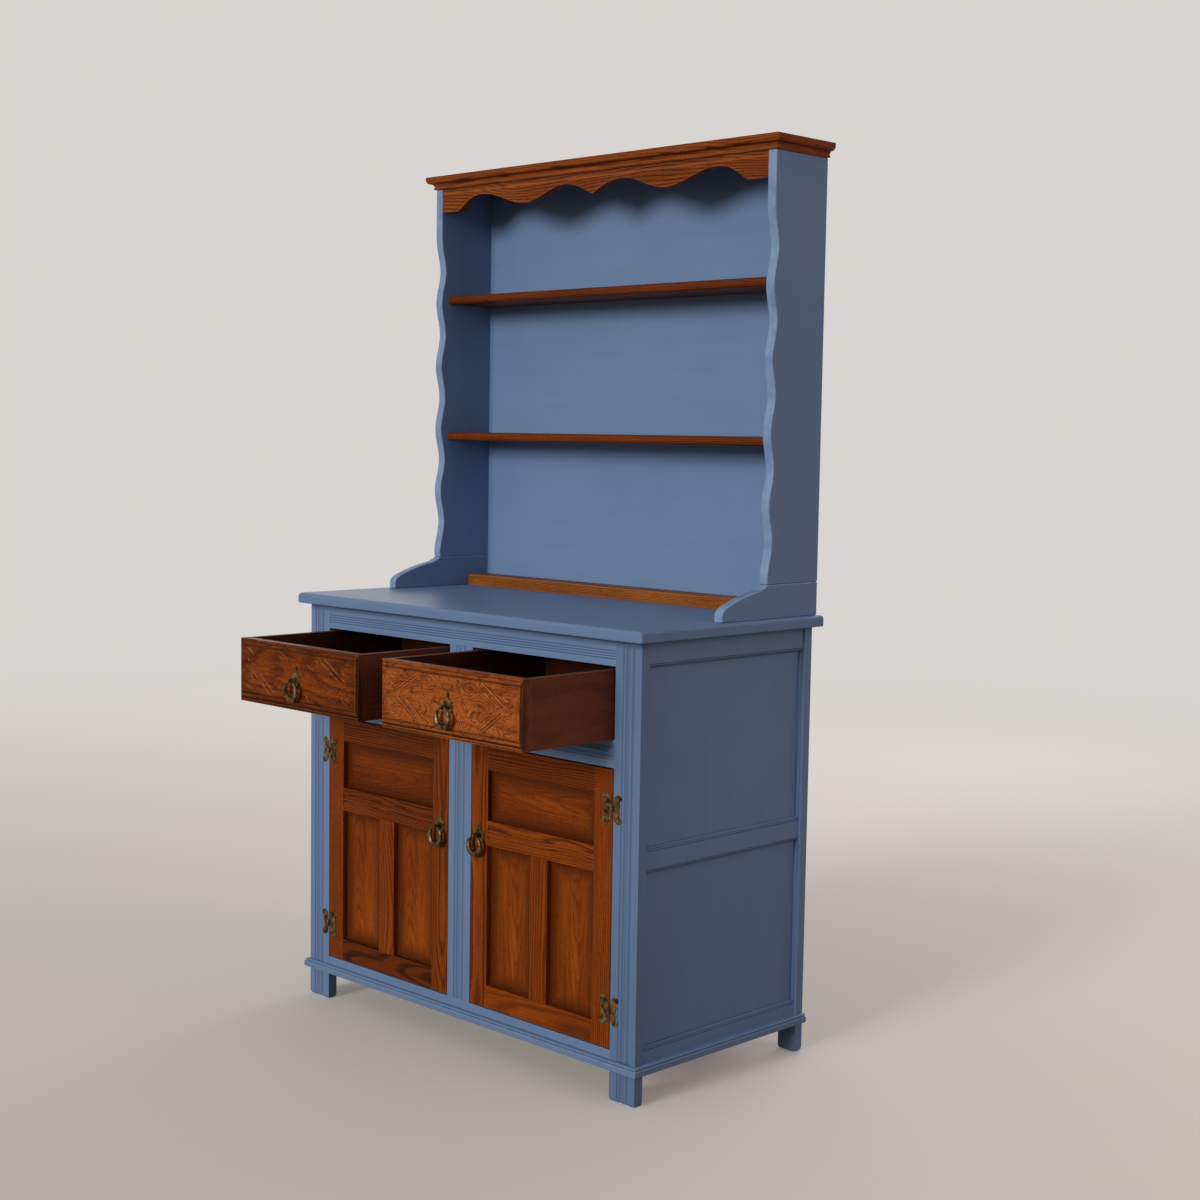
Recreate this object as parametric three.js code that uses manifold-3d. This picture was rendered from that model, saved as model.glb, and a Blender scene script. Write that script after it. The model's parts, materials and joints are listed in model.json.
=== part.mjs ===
// Welsh dresser: a base with two drawers over two panelled doors, and an open plate rack on top.
// Millimetres, +Z up, +X to the right as seen from the front, the front faces -Y.
// The pieces are drawn with the stile faces at y = 0 and the floor at z = 0, the drawers part open.

import * as THREE from 'three';
import { mergeVertices } from 'three/addons/utils/BufferGeometryUtils.js';
import Module from 'manifold-3d';

const wasm = await Module();
wasm.setup();

// Driving sizes of the base
const carcassWidth = 1000;
const carcassDepth = 497.4;
const carcassHeight = 875.5;
const frameThickness = 21.6;
const stileWidth = 66.5;
const muntinWidth = 68.5;
const topRailHeight = 51;
const drawerOpeningHeight = 137.3;
const middleRailHeight = 53.5;
const bottomRailHeight = 35.5;
const footHeight = 61;

// Driving sizes of the worktop
const worktopThickness = 22;
const worktopSideOverhang = 19.4;
const worktopFrontOverhang = 23.4;
const worktopBackOverhang = 11.9;
const worktopCornerRadius = 5;
const worktopTopRound = 7;
const worktopUnderRound = 2;

// Driving sizes of the rack
const rackSideOverhang = 0.95;
const rackBack = 510;
const rackHeight = 905.9;
const rackSideThickness = 20.8;
const rackSideDepth = 160.5;
const rackFootDepth = 291;
const rackFootHeight = 67.5;
const rackShelfThickness = 19.5;
const rackShelfDepth = 131;
const lowerShelfRise = 336.5;
const upperShelfRise = 647.5;

// How far the drawers stand open
const drawerOpenAtRest = 236;

// Clearances
const touchGap = 0.3;
const doorSideGap = 2;
const doorTopGap = 3.2;
const doorBottomGap = 3;
const drawerSideGap = 2.5;
const drawerRunGap = 0.5;
const drawerTopGap = 5.3;

// One overrun serves every cut
const overrun = 5;

// Facet counts
const coveSteps = 6;
const roundSteps = 6;
const waveSteps = 9;
const friezeSteps = 10;

// Levels and edges that several pieces share
const halfWidth = carcassWidth / 2;
const openingEdge = halfWidth - stileWidth;
const halfMuntin = muntinWidth / 2;
const topRailBottom = carcassHeight - topRailHeight;
const middleRailTop = topRailBottom - drawerOpeningHeight;
const middleRailBottom = middleRailTop - middleRailHeight;
const bottomRailTop = footHeight + bottomRailHeight;
const worktopTop = carcassHeight + worktopThickness;
const backStileFront = carcassDepth - frameThickness;
const worktopBack = carcassDepth + worktopBackOverhang;
const rackTop = worktopTop + rackHeight;
const halfRack = halfWidth + rackSideOverhang;
const rackInner = halfRack - rackSideThickness;
const rackFront = rackBack - rackSideDepth;

// Materials
function finish(color, roughness, metalness) {
  return new THREE.MeshStandardMaterial({ color, roughness, metalness });
}

const finishes = {
  bluePaint: () => finish(0x687e9e, 0.42, 0),
  stainedOak: () => finish(0x96501f, 0.5, 0),
  drawerWood: () => finish(0x46231a, 0.6, 0),
  innerWood: () => finish(0x8a6a48, 0.75, 0),
  antiqueBrass: () => finish(0x6e5f37, 0.42, 1),
};

const dresser = new THREE.Group();
dresser.name = 'welsh_dresser';

function addPiece(name, geometry, material, parent = dresser) {
  const mesh = new THREE.Mesh(geometry, finishes[material]());
  mesh.name = name;
  parent.add(mesh);
  return mesh;
}

// Helpers for the shapes

function block(x0, x1, y0, y1, z0, z1) {
  const box = new THREE.BoxGeometry(Math.abs(x1 - x0), Math.abs(y1 - y0), Math.abs(z1 - z0));
  return box.translate((x0 + x1) / 2, (y0 + y1) / 2, (z0 + z1) / 2);
}

function outlineShape(points) {
  return new THREE.Shape(points.map(([u, v]) => new THREE.Vector2(u, v)));
}

function prism(points, depth, basis) {
  const geometry = new THREE.ExtrudeGeometry(outlineShape(points), { depth, bevelEnabled: false });
  return geometry.applyMatrix4(new THREE.Matrix4().makeBasis(...basis));
}

const unitX = new THREE.Vector3(1, 0, 0);
const unitY = new THREE.Vector3(0, 1, 0);
const unitZ = new THREE.Vector3(0, 0, 1);

// Outline points are [x, y]
function alongZ(points, z0, z1) {
  return prism(points, z1 - z0, [unitX, unitY, unitZ]).translate(0, 0, z0);
}

// Outline points are [y, z]
function alongX(points, x0, x1) {
  return prism(points, x1 - x0, [unitY, unitZ, unitX]).translate(x0, 0, 0);
}

// Outline points are [x, z]
function alongY(points, y0, y1) {
  return prism(points, y1 - y0, [unitX, unitZ, unitY.clone().negate()]).translate(0, y1, 0);
}

function solidOf(geometry) {
  const bare = geometry.clone();
  bare.deleteAttribute('normal');
  bare.deleteAttribute('uv');
  const merged = mergeVertices(bare);
  return new wasm.Manifold(new wasm.Mesh({
    numProp: 3,
    vertProperties: new Float32Array(merged.attributes.position.array),
    triVerts: new Uint32Array(merged.index.array),
  }));
}

function geometryOf(solid) {
  const mesh = solid.getMesh();
  const geometry = new THREE.BufferGeometry();
  geometry.setAttribute('position', new THREE.BufferAttribute(mesh.vertProperties, 3));
  geometry.setIndex(new THREE.BufferAttribute(mesh.triVerts, 1));
  geometry.computeVertexNormals();
  return geometry;
}

function joined(geometries) {
  return geometryOf(geometries.map(solidOf).reduce((all, next) => all.add(next)));
}

function cutFrom(geometry, cutters) {
  return geometryOf(cutters.map(solidOf).reduce((all, next) => all.subtract(next), solidOf(geometry)));
}

function common(first, second) {
  return geometryOf(solidOf(first).intersect(solidOf(second)));
}

function arcPoints(centreU, centreV, radiusU, radiusV, from, to, steps) {
  return Array.from({ length: steps + 1 }, (_, k) => {
    const angle = from + ((to - from) * k) / steps;
    return [centreU + radiusU * Math.cos(angle), centreV + radiusV * Math.sin(angle)];
  });
}

// Moulded band on the frame: two coves that meet at a ridge
const coved = { halfWidth: 15.5, lipStep: 0.6, coveDepth: 2.6, ridgeHalf: 0.8, ridgeDepth: 0.3 };

// Points [across, depth] of the band, from its lower to its upper edge
function covedPoints(centre) {
  const cove = (from, to, stepFrom, stepTo) => Array.from({ length: coveSteps + 1 }, (_, k) => {
    const share = k / coveSteps;
    const rim = stepFrom + (stepTo - stepFrom) * share;
    return [from + (to - from) * share, rim + coved.coveDepth * Math.sin(Math.PI * share)];
  });
  const band = [
    [-coved.halfWidth, 0],
    ...cove(-coved.halfWidth, -coved.ridgeHalf, coved.lipStep, coved.ridgeDepth),
    ...cove(coved.ridgeHalf, coved.halfWidth, coved.ridgeDepth, coved.lipStep),
    [coved.halfWidth, 0],
  ];
  return band.map(([across, depth]) => [centre + across, depth]);
}

// Moulded band on the top rail: fine reeds between V grooves
const reeded = { count: 3, pitch: 5, grooveDepth: 1.8, crownShare: 0.5, topDrop: 22.5 };

// Points [level, depth] from the lowest groove up, for a rail whose top is at the level given
function reededPoints(top) {
  const low = top - reeded.topDrop - reeded.count * reeded.pitch;
  const half = (reeded.pitch * reeded.crownShare) / 2;
  const groove = (level) => [[level - half, 0], [level, reeded.grooveDepth], [level + half, 0]];
  return Array.from({ length: reeded.count + 1 }, (_, k) => groove(low + k * reeded.pitch)).flat();
}

// Plain strip between the band and the stile's outer edge
const stileMargin = 16;

// Front stile: runs from the floor to the worktop, so its lower end is the foot
function frontStile(side) {
  const inner = side * openingEdge;
  const outer = side * halfWidth;
  const band = covedPoints(outer - side * (stileMargin + coved.halfWidth));
  const face = side > 0 ? band : band.reverse();
  const outline = [[inner, 0], ...face, [outer, 0], [outer, frameThickness], [inner, frameThickness]];
  return alongZ(outline, 0, carcassHeight);
}

// Upright between two openings
function frontMuntin(z0, z1) {
  const face = covedPoints(0);
  const outline = [
    [-halfMuntin, 0], ...face, [halfMuntin, 0],
    [halfMuntin, frameThickness], [-halfMuntin, frameThickness],
  ];
  return alongZ(outline, z0, z1);
}

// Rail between the stiles: face points are [level, depth], from the lowest up
function mouldedRail(z0, z1, face) {
  const outline = [
    [0, z0], ...face.map(([level, depth]) => [depth, level]), [0, z1],
    [frameThickness, z1], [frameThickness, z0],
  ];
  return alongX(outline, -openingEdge, openingEdge);
}

const middleBandDrop = 23;

function buildFrontFrame() {
  for (const [word, side] of [['left', -1], ['right', 1]]) {
    addPiece(`front_stile_${word}`, frontStile(side), 'bluePaint');
  }
  const topRail = mouldedRail(topRailBottom, carcassHeight, reededPoints(carcassHeight));
  addPiece('front_top_rail', topRail, 'bluePaint');
  const middleBand = covedPoints(middleRailTop - middleBandDrop);
  addPiece('front_middle_rail', mouldedRail(middleRailBottom, middleRailTop, middleBand), 'bluePaint');
  const bottomRail = block(-openingEdge, openingEdge, 0, frameThickness, footHeight, bottomRailTop);
  addPiece('front_bottom_rail', bottomRail, 'bluePaint');
  addPiece('drawer_muntin', frontMuntin(middleRailTop, topRailBottom), 'bluePaint');
  addPiece('door_muntin', frontMuntin(bottomRailTop, middleRailBottom), 'bluePaint');
}

// Side frame: back stile with three rails glued into it
const sideFrame = {
  stileWidth: 45,
  railSetback: 5,
  railThickness: 20,
  topRailHeight: 50.5,
  middleRailHeight: 50,
  middleRailDrop: 386.5,
  bottomRailTop: 110,
  mouldWidth: 8,
  quirkWidth: 1.2,
  quirkDepth: 1.8,
  ovoloStep: 0.5,
  tenonLength: 12,
};

const sidePanel = { setback: 15, thickness: 6, grooveDepth: 7 };

const railFace = halfWidth - sideFrame.railSetback;
const railInner = railFace - sideFrame.railThickness;
const panelFace = halfWidth - sidePanel.setback;
const panelInner = panelFace - sidePanel.thickness;
const sideTopRailBottom = carcassHeight - sideFrame.topRailHeight;
const stileInner = halfWidth - sideFrame.stileWidth;
const sideMiddleTop = carcassHeight - sideFrame.middleRailDrop;
const sideMiddleBottom = sideMiddleTop - sideFrame.middleRailHeight;

// Quirked ovolo from the rail's face to the panel: edge is its level there, away points into the rail
function stuckMoulding(edge, away) {
  const quirkTop = edge + away * sideFrame.mouldWidth;
  const ovoloTop = quirkTop - away * sideFrame.quirkWidth;
  const foot = panelFace + touchGap;
  const reach = railFace - sideFrame.ovoloStep - foot;
  return [
    [railFace, quirkTop],
    [railFace - sideFrame.quirkDepth, quirkTop],
    [railFace - sideFrame.quirkDepth, ovoloTop],
    ...arcPoints(foot, ovoloTop, reach, edge - ovoloTop, 0, Math.PI / 2, coveSteps),
  ];
}

// Groove that takes the panel's edge, from the foot of the moulding round to the rail's inner face
function panelGroove(edge, away) {
  const floor = edge + away * (sidePanel.grooveDepth + touchGap);
  return [
    [panelFace + touchGap, floor],
    [panelInner - touchGap, floor],
    [panelInner - touchGap, edge],
    [railInner, edge],
  ];
}

function buildSides() {
  const railEnd = backStileFront + sideFrame.tenonLength;
  for (const [word, side] of [['left', -1], ['right', 1]]) {
    const turned = (points) => points.map(([x, z]) => [side * x, z]);
    const rail = (points) => alongY(turned(points), frameThickness, railEnd);
    const topRail = [
      [railInner, carcassHeight], [railFace, carcassHeight],
      ...stuckMoulding(sideTopRailBottom, 1), ...panelGroove(sideTopRailBottom, 1),
    ];
    const middleRail = [
      [panelFace, sideMiddleTop],
      ...stuckMoulding(sideMiddleTop, -1).reverse(),
      ...stuckMoulding(sideMiddleBottom, 1),
      [panelFace, sideMiddleBottom],
    ];
    const bottomRail = [
      [railInner, footHeight], [halfWidth, footHeight], [halfWidth, plinth.top], [railFace, plinth.top],
      ...stuckMoulding(sideFrame.bottomRailTop, -1), ...panelGroove(sideFrame.bottomRailTop, -1),
    ];
    const stile = block(side * stileInner, side * halfWidth, backStileFront, carcassDepth, 0, carcassHeight);
    const rails = [topRail, middleRail, bottomRail].map(rail);
    addPiece(`side_frame_${word}`, joined([stile, ...rails]), 'bluePaint');
    const panelLow = sideFrame.bottomRailTop - sidePanel.grooveDepth;
    const panelHigh = sideTopRailBottom + sidePanel.grooveDepth;
    const panel = block(
      side * panelInner, side * panelFace, frameThickness, backStileFront, panelLow, panelHigh,
    );
    addPiece(`side_panel_${word}`, panel, 'bluePaint');
  }
}

// A moulding that wraps the front and both sides with mitred corners: profile points are [out, z]
function wrappedMoulding(profile, halfSpan, front, back) {
  const low = profile[0][1];
  const high = profile[profile.length - 1][1];
  const frontSweep = [...profile.map(([out, z]) => [front - out, z]), [back, high], [back, low]];
  const sideSweep = [
    ...profile.map(([out, z]) => [halfSpan + out, z]),
    ...profile.map(([out, z]) => [-halfSpan - out, z]).reverse(),
  ];
  const reach = halfSpan + Math.max(...profile.map(([out]) => out)) + overrun;
  const whole = common(
    alongX(frontSweep, -reach, reach),
    alongY(sideSweep, front - reach, back),
  );
  return cutFrom(whole, [block(-halfSpan, halfSpan, front, back + overrun, low - overrun, high + overrun)]);
}

// Plinth moulding: a broad rounded band, a quirk and a quarter round above it
const plinth = {
  top: 80,
  projection: 10,
  softEdge: 1.5,
  bandHeight: 13,
  quirkHeight: 1.6,
  quirkDepth: 4.5,
  roundSetback: 1.8,
};

function buildPlinth() {
  const quirkLow = footHeight + plinth.bandHeight;
  const quirkHigh = quirkLow + plinth.quirkHeight;
  const roundOut = plinth.projection - plinth.roundSetback;
  const roundRise = plinth.top - quirkHigh;
  const profile = [
    [0, footHeight],
    [plinth.projection - plinth.softEdge, footHeight],
    [plinth.projection, footHeight + plinth.softEdge],
    [plinth.projection, quirkLow - plinth.softEdge],
    [plinth.projection - plinth.softEdge, quirkLow],
    [plinth.projection - plinth.quirkDepth, quirkLow],
    [plinth.projection - plinth.quirkDepth, quirkHigh],
    ...arcPoints(0, quirkHigh, roundOut, roundRise, 0, Math.PI / 2, coveSteps),
  ];
  addPiece('plinth_moulding', wrappedMoulding(profile, halfWidth, 0, carcassDepth), 'bluePaint');
}

// Worktop: front and side edges rounded over, square at the back
function buildWorktop() {
  const corner = worktopCornerRadius;
  const under = worktopUnderRound;
  const over = worktopTopRound;
  const edge = [
    ...arcPoints(under, under, under, under, 1.5 * Math.PI, Math.PI, coveSteps),
    ...arcPoints(over, worktopThickness - over, over, over, Math.PI, 0.5 * Math.PI, roundSteps),
  ];
  const plan = (inset) => {
    const reachX = halfWidth + worktopSideOverhang - inset;
    const front = inset + corner - worktopFrontOverhang;
    return [
      ...arcPoints(corner - reachX, front, corner, corner, Math.PI, 1.5 * Math.PI, coveSteps),
      ...arcPoints(reachX - corner, front, corner, corner, 1.5 * Math.PI, 2 * Math.PI, coveSteps),
      [reachX, worktopBack],
      [-reachX, worktopBack],
    ];
  };
  const corners = edge.flatMap(([inset, rise]) => plan(inset).map(([x, y]) => [x, y, carcassHeight + rise]));
  addPiece('worktop', geometryOf(wasm.Manifold.hull(corners)), 'bluePaint');
}

// Inside of the base
const inside = {
  floorThickness: 15,
  backPanelThickness: 6,
  backPanelSetback: 2.4,
  backRailThickness: 13.2,
  shelfThickness: 15,
  shelfFront: 120,
  shelfLevel: 375,
  cleatSize: 20,
};

const backPanelBack = carcassDepth - inside.backPanelSetback;
const backPanelFront = backPanelBack - inside.backPanelThickness;
const backRailFront = backPanelFront - inside.backRailThickness;

function buildInside() {
  const floorOutline = [
    [-railInner, frameThickness], [railInner, frameThickness],
    [railInner, backStileFront], [stileInner, backStileFront],
    [stileInner, backPanelFront], [-stileInner, backPanelFront],
    [-stileInner, backStileFront], [-railInner, backStileFront],
  ];
  const floor = alongZ(floorOutline, bottomRailTop - inside.floorThickness, bottomRailTop);
  addPiece('cupboard_floor', floor, 'innerWood');

  const panelLow = bottomRailTop - inside.floorThickness;
  const panel = block(-stileInner, stileInner, backPanelFront, backPanelBack, panelLow, carcassHeight);
  addPiece('base_back_panel', panel, 'innerWood');

  const rail = block(-stileInner, stileInner, backRailFront, backPanelFront, topRailBottom, carcassHeight);
  addPiece('back_top_rail', rail, 'innerWood');

  const shelfBottom = inside.shelfLevel - inside.shelfThickness;
  const shelf = block(
    -panelInner, panelInner, inside.shelfFront, backStileFront, shelfBottom, inside.shelfLevel,
  );
  const cleats = [-1, 1].map((side) => block(
    side * (panelInner - inside.cleatSize), side * panelInner,
    inside.shelfFront, backStileFront,
    shelfBottom - inside.cleatSize, shelfBottom + inside.shelfThickness / 2,
  ));
  addPiece('cupboard_shelf', joined([shelf, ...cleats]), 'innerWood');
}

// Runner and kicker frames: three bars to the front and a rear rail, all in one plane
const carry = {
  thickness: 20,
  sideBarWidth: 54,
  middleBarWidth: 100,
  rearRailWidth: 36,
  guideHeight: 18,
  guideWidth: 20,
  guideGap: 1,
};

function combOutline(outer) {
  const rearRail = backStileFront - carry.rearRailWidth;
  const sideBar = panelInner - carry.sideBarWidth;
  const middleBar = carry.middleBarWidth / 2;
  return [
    [-outer, frameThickness], [-sideBar, frameThickness], [-sideBar, rearRail],
    [-middleBar, rearRail], [-middleBar, frameThickness], [middleBar, frameThickness],
    [middleBar, rearRail], [sideBar, rearRail], [sideBar, frameThickness],
    [outer, frameThickness], [outer, backStileFront], [-outer, backStileFront],
  ];
}

function buildDrawerFrames() {
  const runnerBottom = middleRailTop - carry.thickness;
  const guideTop = middleRailTop + carry.guideHeight;
  const guideLow = middleRailTop - carry.thickness / 2;
  const outerGuide = openingEdge + carry.guideGap;
  const middleGuide = halfMuntin - carry.guideGap;
  const guides = [
    [-outerGuide - carry.guideWidth, -outerGuide],
    [-middleGuide, middleGuide],
    [outerGuide, outerGuide + carry.guideWidth],
  ].map(([x0, x1]) => block(x0, x1, frameThickness, backStileFront, guideLow, guideTop));
  const runners = joined([alongZ(combOutline(panelInner), runnerBottom, middleRailTop), ...guides]);
  addPiece('drawer_runner_frame', runners, 'innerWood');
  const kickerTop = topRailBottom + carry.thickness;
  const kickers = alongZ(combOutline(railInner), topRailBottom, kickerTop);
  const notch = block(
    -stileInner, stileInner, backRailFront, backStileFront + overrun,
    topRailBottom - overrun, kickerTop + overrun,
  );
  addPiece('drawer_kicker_frame', cutFrom(kickers, [notch]), 'innerWood');
}

// Doors: frames with a coved middle rail, and three flat panels let into grooves
const door = {
  thickness: 20,
  stileWidth: 48,
  topRailHeight: 47.5,
  middleRailDrop: 150.5,
  middleRailHeight: 49.5,
  bottomRailHeight: 44.5,
  muntinWidth: 48,
  panelSetback: 11,
  panelThickness: 6,
  grooveDepth: 6,
  bandDrop: 25.5,
  bandHalf: 13,
};

const doorInner = halfMuntin + doorSideGap;
const doorOuter = openingEdge - doorSideGap;
const doorBottom = bottomRailTop + doorBottomGap;
const doorTop = middleRailBottom - doorTopGap;
const doorCentre = (doorInner + doorOuter) / 2;
const doorMiddleTop = doorTop - door.middleRailDrop;

// Panel openings of a door as [name, x0, x1, z0, z1], x measured outward from the dresser's middle
function doorOpenings() {
  const left = doorInner + door.stileWidth;
  const right = doorOuter - door.stileWidth;
  const upperLow = doorMiddleTop;
  const upperHigh = doorTop - door.topRailHeight;
  const lowerLow = doorBottom + door.bottomRailHeight;
  const lowerHigh = doorMiddleTop - door.middleRailHeight;
  const muntin = door.muntinWidth / 2;
  return [
    ['upper_panel', left, right, upperLow, upperHigh],
    ['inner_panel', left, doorCentre - muntin, lowerLow, lowerHigh],
    ['outer_panel', doorCentre + muntin, right, lowerLow, lowerHigh],
  ];
}

function buildDoor(word, side) {
  const panelFront = door.panelSetback;
  const panelBack = door.panelSetback + door.panelThickness;
  const left = doorInner + door.stileWidth;
  const right = doorOuter - door.stileWidth;
  const cutters = [];
  for (const [name, x0, x1, z0, z1] of doorOpenings()) {
    cutters.push(block(side * x0, side * x1, -overrun, door.thickness + overrun, z0, z1));
    const deep = door.grooveDepth;
    const room = deep + touchGap;
    cutters.push(block(
      side * (x0 - room), side * (x1 + room), panelFront - touchGap, panelBack + touchGap, z0 - room, z1 + room,
    ));
    const panel = block(side * (x0 - deep), side * (x1 + deep), panelFront, panelBack, z0 - deep, z1 + deep);
    addPiece(`door_${word}_${name}`, panel, 'stainedOak');
  }
  const bandCentre = doorMiddleTop - door.bandDrop;
  const bandShare = door.bandHalf / coved.halfWidth;
  const band = covedPoints(0).map(([across, depth]) => [depth, bandCentre + across * bandShare]);
  cutters.push(alongX(
    [[-overrun, bandCentre - door.bandHalf], ...band, [-overrun, bandCentre + door.bandHalf]],
    side > 0 ? left : -right,
    side > 0 ? right : -left,
  ));
  const slab = block(side * doorInner, side * doorOuter, 0, door.thickness, doorBottom, doorTop);
  addPiece(`door_${word}_frame`, cutFrom(slab, cutters), 'stainedOak');
}

// Drawers: moulded front, dovetailed box and a bottom let into grooves
const drawer = {
  length: 440,
  frontThickness: 22,
  sideThickness: 12,
  bottomThickness: 5,
  bottomRise: 9,
  grooveDepth: 6,
  lipDepth: 4,
  topFillet: 2.5,
  topOvolo: 8.5,
  topStep: 0.8,
  quirkDepth: 1.8,
  quirkWidth: 1.4,
  lowerNose: 6.5,
  lowerCove: 4.5,
  lowerBead: 5,
  endBevel: 6,
};

const drawerInner = halfMuntin + drawerSideGap;
const drawerOuter = openingEdge - drawerSideGap;
const drawerBottom = middleRailTop + drawerRunGap;
const drawerTop = topRailBottom - drawerTopGap;
const drawerCentre = (drawerInner + drawerOuter) / 2;

// Front's section [y, z]: a raised field between an ovolo at the top and a nose, cove and bead below
function drawerFrontOutline() {
  const field = -drawerOpenAtRest;
  const back = field + drawer.frontThickness;
  const lip = field + drawer.lipDepth;
  const ovoloLow = drawerTop - drawer.topFillet - drawer.topOvolo;
  const ovoloReach = drawer.lipDepth - drawer.topStep;
  const fieldTop = ovoloLow - drawer.quirkWidth;
  const coveLow = drawerBottom + drawer.lowerNose;
  const beadLow = coveLow + drawer.lowerCove;
  const beadTop = beadLow + drawer.lowerBead;
  const noseHalf = drawer.lowerNose / 2;
  const beadHalf = drawer.lowerBead / 2;
  const noseOut = drawer.lipDepth / 2;
  const nose = arcPoints(
    lip, drawerBottom + noseHalf, noseOut, noseHalf, -Math.PI / 2, -1.5 * Math.PI, coveSteps,
  );
  const cove = arcPoints(field, coveLow, drawer.lipDepth, drawer.lowerCove, 0, Math.PI / 2, coveSteps);
  const bead = arcPoints(
    field + drawer.quirkDepth, beadLow + beadHalf, drawer.quirkDepth, beadHalf,
    -Math.PI / 2, -1.5 * Math.PI, coveSteps,
  );
  const ovolo = arcPoints(lip, ovoloLow, -ovoloReach, drawer.topOvolo, 0, Math.PI / 2, coveSteps);
  return [
    [back, drawerBottom],
    ...nose,
    ...cove.slice(1, -1),
    ...bead,
    [field + drawer.quirkDepth, beadTop + drawer.quirkWidth],
    [field, beadTop + drawer.quirkWidth],
    [field, fieldTop],
    [field + drawer.quirkDepth, fieldTop],
    [field + drawer.quirkDepth, ovoloLow],
    ...ovolo,
    [lip, drawerTop],
    [back, drawerTop],
  ];
}

// Sloping ends of the raised field
function drawerEndCutter(x, side, inward) {
  const field = -drawerOpenAtRest;
  const deep = drawer.lipDepth;
  const outer = side * x;
  const inner = outer + side * inward * drawer.endBevel;
  const beyond = outer - side * inward * overrun;
  return alongZ(
    [[inner, field], [outer, field + deep], [beyond, field + deep], [beyond, field - overrun], [inner, field - overrun]],
    drawerBottom - overrun, drawerTop + overrun,
  );
}

function buildDrawer(word, side) {
  const front = -drawerOpenAtRest;
  const boxFront = front + drawer.frontThickness;
  const boxBack = front + drawer.length;
  const x0 = drawerInner;
  const x1 = drawerOuter;
  const wall = drawer.sideThickness;
  const bottomLow = drawerBottom + drawer.bottomRise;
  const bottomHigh = bottomLow + drawer.bottomThickness;
  const deep = drawer.grooveDepth;
  const room = deep + touchGap;
  const bottom = block(
    side * (x0 + wall - deep), side * (x1 - wall + deep), boxFront - deep, boxBack - wall + deep,
    bottomLow, bottomHigh,
  );
  const groove = block(
    side * (x0 + wall - room), side * (x1 - wall + room), boxFront - room, boxBack - wall + room,
    bottomLow - touchGap, bottomHigh + touchGap,
  );
  const tray = cutFrom(block(side * x0, side * x1, boxFront, boxBack, drawerBottom, drawerTop), [
    block(
      side * (x0 + wall), side * (x1 - wall), boxFront - overrun, boxBack - wall,
      drawerBottom - overrun, drawerTop + overrun,
    ),
    groove,
  ]);
  const frontBoard = alongX(drawerFrontOutline(), side > 0 ? x0 : -x1, side > 0 ? x1 : -x0);
  const frontCutters = [groove, drawerEndCutter(x0, side, 1), drawerEndCutter(x1, side, -1)];
  addPiece(`drawer_${word}_front`, cutFrom(frontBoard, frontCutters), 'stainedOak');
  addPiece(`drawer_${word}_box`, tray, 'drawerWood');
  addPiece(`drawer_${word}_bottom`, bottom, 'drawerWood');
}

// Ring pull: pointed backplate with an eye, and a cast ring that hangs in it
const pull = {
  plateThickness: 1.8,
  plateHalfWidth: 16,
  plateRise: 28.5,
  plateDrop: 22,
  eyeStandoff: 14,
  eyeRadius: 4.6,
  eyeThickness: 4,
  boreRadius: 2.45,
  neckRadius: 2.6,
  neckFoot: 4.2,
  ringHalfHeight: 18.8,
  ringHalfWidth: 17.4,
  wireTop: 1.8,
  wireBottom: 4.6,
};

// Half of the backplate's outline as shares of its half width and of its rise or drop
const plateShares = [
  [0, 1], [0.227, 0.842], [0.173, 0.702], [0.297, 0.596], [0.243, 0.474], [0.486, 0.386],
  [0.892, 0.298], [0.703, 0.175], [0.973, 0.053], [1, -0.091], [0.757, -0.273], [0.649, -0.455],
  [0.378, -0.636], [0.27, -0.818],
];
const plateFootShare = -1;

function pullPlate(x, face, z) {
  const place = ([u, v]) => [u * pull.plateHalfWidth, v * (v > 0 ? pull.plateRise : pull.plateDrop)];
  const right = plateShares.map(place);
  const left = plateShares.slice(1).map(place).map(([u, v]) => [-u, v]).reverse();
  const outline = [...right, [0, plateFootShare * pull.plateDrop], ...left];
  const plate = alongY(outline, -pull.plateThickness, 0);
  const neck = new THREE.CylinderGeometry(pull.neckFoot, pull.neckRadius, pull.eyeStandoff, 10);
  neck.translate(0, -pull.eyeStandoff / 2, 0);
  const eye = new THREE.CylinderGeometry(pull.eyeRadius, pull.eyeRadius, pull.eyeThickness, 16);
  eye.rotateZ(Math.PI / 2).translate(0, -pull.eyeStandoff, 0);
  const bore = new THREE.CylinderGeometry(pull.boreRadius, pull.boreRadius, pull.eyeThickness + overrun, 16);
  bore.rotateZ(Math.PI / 2).translate(0, -pull.eyeStandoff, 0);
  return cutFrom(joined([plate, neck, eye]), [bore]).translate(x, face, z);
}

// Oval ring whose wire grows quickly from the top to the sides, then slowly to the bottom
function pullRing(x, face, z) {
  const ring = new THREE.TorusGeometry(pull.ringHalfHeight, pull.wireTop, 8, 32);
  const place = ring.attributes.position;
  const spot = new THREE.Vector3();
  for (let k = 0; k < place.count; k += 1) {
    spot.fromBufferAttribute(place, k);
    const centre = new THREE.Vector3(spot.x, spot.y, 0).setLength(pull.ringHalfHeight);
    const fall = (1 - centre.y / pull.ringHalfHeight) / 2;
    const growth = 1 + (pull.wireBottom / pull.wireTop - 1) * Math.sin((Math.PI * fall) / 2);
    spot.sub(centre).multiplyScalar(growth);
    centre.x *= pull.ringHalfWidth / pull.ringHalfHeight;
    spot.add(centre);
    place.setXYZ(k, spot.x, spot.y, spot.z);
  }
  ring.rotateX(Math.PI / 2).translate(x, face - pull.eyeStandoff, z - pull.ringHalfHeight);
  return geometryOf(solidOf(ring));
}

// Door pulls stand on the inner stiles, a little below the top of the middle rail
const doorPullDrop = 32;

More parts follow.
